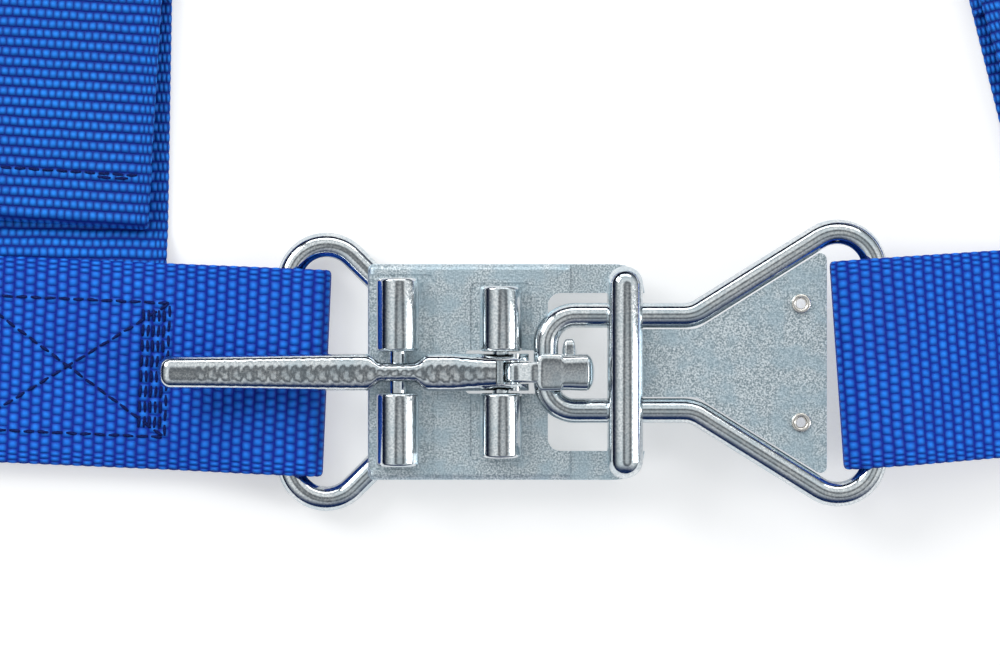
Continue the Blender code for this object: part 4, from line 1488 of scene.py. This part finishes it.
@dataclass(frozen=True)
class Stage:
    """The white table, the light and the camera.

    Attributes:
        x: Place of the view's middle along X.
        y: Its place along Y.
    """

    x: float
    y: float

    # What 1000 px of the photograph show, the floor, the room's colour from the horizon, 0, to straight up, 1
    # and the lights: name, place from the middle of the view, width and height, and power in watts
    view_width: float = 240.0 * MM
    view_height: float = 12.0 * MM
    camera_height: float = 0.95
    sensor_width: float = 36.0
    floor_half: float = 12.0
    floor_depth: float = 0.02 * MM
    floor_colour: Triple = (0.68, 0.68, 0.68)
    floor_roughness: float = 0.9
    floor_glow: float = 0.44
    room: tuple = (
        (0.0, 0.008, 0.012, 0.030), (0.14, 0.03, 0.04, 0.07), (0.30, 0.26, 0.28, 0.30),
        (0.50, 0.64, 0.67, 0.68), (0.72, 0.98, 1.00, 1.00), (0.84, 0.94, 0.97, 0.98),
        (0.88, 0.60, 0.62, 0.63), (0.915, 0.20, 0.21, 0.22), (0.955, 0.22, 0.23, 0.24),
        (0.985, 0.56, 0.58, 0.59), (1.0, 0.64, 0.66, 0.67),
    )
    room_axis: Triple = (0.20, -0.14, 0.97)
    near_side: Triple = (0.014, 0.035, 0.11)
    near_range: Pair = (-0.9, -0.35)
    lights: tuple = (
        ("key_light", (-0.75, 0.55, 0.65), (0.5, 0.5), 6.0),
        ("low_light", (0.95, -0.10, 0.40), (0.25, 0.6), 3.0),
        ("top_light", (0.05, 0.75, 0.45), (1.0, 0.2), 2.0),
    )

    def build(self) -> None:
        """Set up everything that is not the harness."""
        self.floor()
        self.world()
        for name, place, size, power in self.lights:
            self.light(name, place, size, power)
        self.camera()

    def floor(self) -> None:
        """Make a pale floor that looks white, with the harness's shadow on it.

        The camera and reflections see a white glow added to the floor's own lit surface.
        """
        mesh = bpy.data.meshes.new("floor")
        half = self.floor_half
        corners = [(-half, -half, 0.0), (half, -half, 0.0), (half, half, 0.0), (-half, half, 0.0)]
        mesh.from_pydata(corners, [], [(0, 1, 2, 3)])
        floor = bpy.data.objects.new("floor", mesh)
        floor.location.z = -self.floor_depth
        bpy.context.scene.collection.objects.link(floor)
        sheet = MaterialSheet("white_floor")
        sheet.surface(Base_Color=(*self.floor_colour, 1.0), Roughness=self.floor_roughness)
        rays = sheet.add("ShaderNodeLightPath")
        seen = sheet.maths("MAXIMUM", rays.outputs["Is Camera Ray"], rays.outputs["Is Glossy Ray"])
        seen = sheet.maths("MAXIMUM", seen, rays.outputs["Is Transmission Ray"])
        glow = sheet.add("ShaderNodeEmission")
        sheet.join(sheet.maths("MULTIPLY", seen, self.floor_glow), glow.inputs["Strength"])
        both = sheet.add("ShaderNodeAddShader")
        sheet.join(sheet.shader.outputs[0], both.inputs[0])
        sheet.join(glow.outputs[0], both.inputs[1])
        sheet.join(both.outputs[0], sheet.tree.nodes["Material Output"].inputs["Surface"])
        mesh.materials.append(sheet.material)

    def world(self) -> None:
        """Surround the table with a soft grey room whose bands lean over, navy on the near side."""
        world = bpy.data.worlds.new("room")
        bpy.context.scene.world = world
        sheet = NodeSheet(world)
        place = sheet.add("ShaderNodeTexCoord").outputs["Generated"]
        height = sheet.add("ShaderNodeVectorMath")
        height.operation = "DOT_PRODUCT"
        sheet.join(place, height.inputs[0])
        sheet.join(self.room_axis, height.inputs[1])
        ramp = sheet.add("ShaderNodeValToRGB")
        sheet.join(height.outputs["Value"], ramp.inputs[0])
        bands = ramp.color_ramp.elements
        for position, *_ in self.room[1:-1]:
            bands.new(position)
        for band, (position, *colour) in zip(bands, self.room):
            band.position = position
            band.color = (*colour, 1.0)
        split = sheet.add("ShaderNodeSeparateXYZ")
        sheet.join(place, split.inputs[0])
        nearness = sheet.span(split.outputs["Y"], self.near_range, (1.0, 0.0))
        colour = sheet.mix_colour(nearness, ramp.outputs[0], self.near_side)
        sheet.join(colour, sheet.tree.nodes["Background"].inputs["Color"])

    def light(self, name: str, place: Triple, size: Pair, power: float) -> None:
        """Hang a soft light that faces the buckle.

        Args:
            name: The light's name.
            place: Its place from the middle of the view.
            size: Its width and height.
            power: Its power in watts.
        """
        lamp = bpy.data.lights.new(name, "AREA")
        lamp.shape = "RECTANGLE"
        lamp.size, lamp.size_y = size
        lamp.energy = power
        holder = bpy.data.objects.new(name, lamp)
        x, y, z = place
        holder.location = (self.x + x, self.y + y, z)
        holder.rotation_euler = (math.atan2(math.hypot(x, y), z), 0.0, math.atan2(-y, -x) - math.pi / 2)
        bpy.context.scene.collection.objects.link(holder)

    def camera(self) -> None:
        """Look straight down, as the photograph does."""
        lens = bpy.data.cameras.new("camera")
        lens.sensor_fit = "HORIZONTAL"
        lens.sensor_width = self.sensor_width
        lens.lens = self.sensor_width * (self.camera_height - self.view_height) / self.view_width
        holder = bpy.data.objects.new("camera", lens)
        holder.location = (self.x, self.y, self.camera_height)
        bpy.context.scene.collection.objects.link(holder)
        bpy.context.scene.camera = holder
        bpy.context.scene.view_settings.view_transform = "Standard"


def make_steel(frame: dict, x: float, y: float) -> None:
    """Make the steel's finishes and pieces.

    Args:
        frame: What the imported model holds.
        x: Place of the buckle's own zero along X.
        y: Place of its zero along Y.
    """
    satin = MetalFinish(
        name="satin_zinc", light=(0.85, 0.92, 0.95), dark=(0.33, 0.42, 0.47), tint=(0.48, 0.63, 0.71),
        roughness=(0.36, 0.54), grain=2400.0, depth=0.09 * MM,
    ).build()
    bright = MetalFinish(
        name="bright_zinc", light=(0.76, 0.79, 0.80), dark=(0.52, 0.56, 0.59), tint=(0.48, 0.57, 0.62),
        roughness=(0.05, 0.15), grain=1900.0, depth=0.009 * MM,
    ).build()
    rivet = MetalFinish(
        name="rivet_steel", light=(0.84, 0.82, 0.78), dark=(0.66, 0.63, 0.58), tint=(0.62, 0.60, 0.56),
        roughness=(0.20, 0.35), grain=1500.0, depth=0.04 * MM,
    ).build()
    Buckle(x, y).build(frame, satin, bright, rivet)
    Latch(
        y=y, pin=middle_of("lever_pin"), rest=middle_of("rest_pin"), hook_pin=middle_of("hook_pin"),
        lever=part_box("latch_lever"), hook=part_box("latch_hook"), plate=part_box("latch_plate"),
    ).build(bright)


def make_belts(x: float, y: float) -> None:
    """Make the webbing's finishes and both sides' belts.

    Args:
        x: Place of the buckle's own zero along X.
        y: Place of its zero along Y.
    """
    # Each webbing's valley colour is painted shade between its yarns.
    lap = WebbingFinish(
        name="lap_webbing", crown=(0.016, 0.250, 1.0), valley_shade_colour=(0.001, 0.022, 0.34), rib=2.6 * MM,
        yarn=2.15 * MM,
    )
    shoulder = WebbingFinish(
        name="shoulder_webbing", crown=(0.019, 0.275, 1.0), valley_shade_colour=(0.001, 0.022, 0.26), rib=2.4 * MM,
        yarn=1.95 * MM,
    )
    lap_cloth, shoulder_cloth = (lap, lap.build()), (shoulder, shoulder.build())
    thread = ThreadFinish(name="navy_thread", light=(0.008, 0.022, 0.17), dark=(0.002, 0.005, 0.05)).build()
    left_bar = Ground(x + LOOP_BAR, y, turn=177.5)
    right_bar = Ground(x + LINK_BAR, y + LINK_SHIFT, turn=4.0)
    BeltSide(
        side=Side.LEFT, bar=left_bar, bar_height=LOOP_HEIGHT, join=(27.0 * MM, 85.0 * MM),
        hank_start=100.0 * MM, shoulder=left_bar.beside(-55.1 * MM, turn=89.0), drop=26.5 * MM,
        tail=34.2 * MM, skew=-2.6, box=(53.4 * MM, 0.9 * MM),
    ).build(lap_cloth, shoulder_cloth, thread)
    BeltSide(
        side=Side.RIGHT, bar=right_bar, bar_height=LINK_HEIGHT, join=(41.0 * MM, 107.0 * MM),
        hank_start=122.0 * MM, shoulder=right_bar.beside(70.5 * MM, turn=104.0), drop=31.0 * MM,
        tail=40.0 * MM, skew=2.6, box=(74.0 * MM, 0.0),
    ).build(lap_cloth, shoulder_cloth, thread)


def main() -> None:
    """Build the harness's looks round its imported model."""
    logging.basicConfig(level=logging.INFO)
    for obj in list(bpy.data.objects):
        bpy.data.objects.remove(obj)
    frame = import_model()
    low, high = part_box("lever_pin")
    x, y = (low[0] + high[0]) / 2 - PIN_X, (low[1] + high[1]) / 2
    make_steel(frame, x, y)
    make_belts(x, y)
    Stage(x + PIN_X + VIEW_MIDDLE[0], y + VIEW_MIDDLE[1]).build()
    for piece in bpy.context.scene.objects:
        LOG.info("%s is in place", piece.name)


if __name__ == "__main__":
    main()
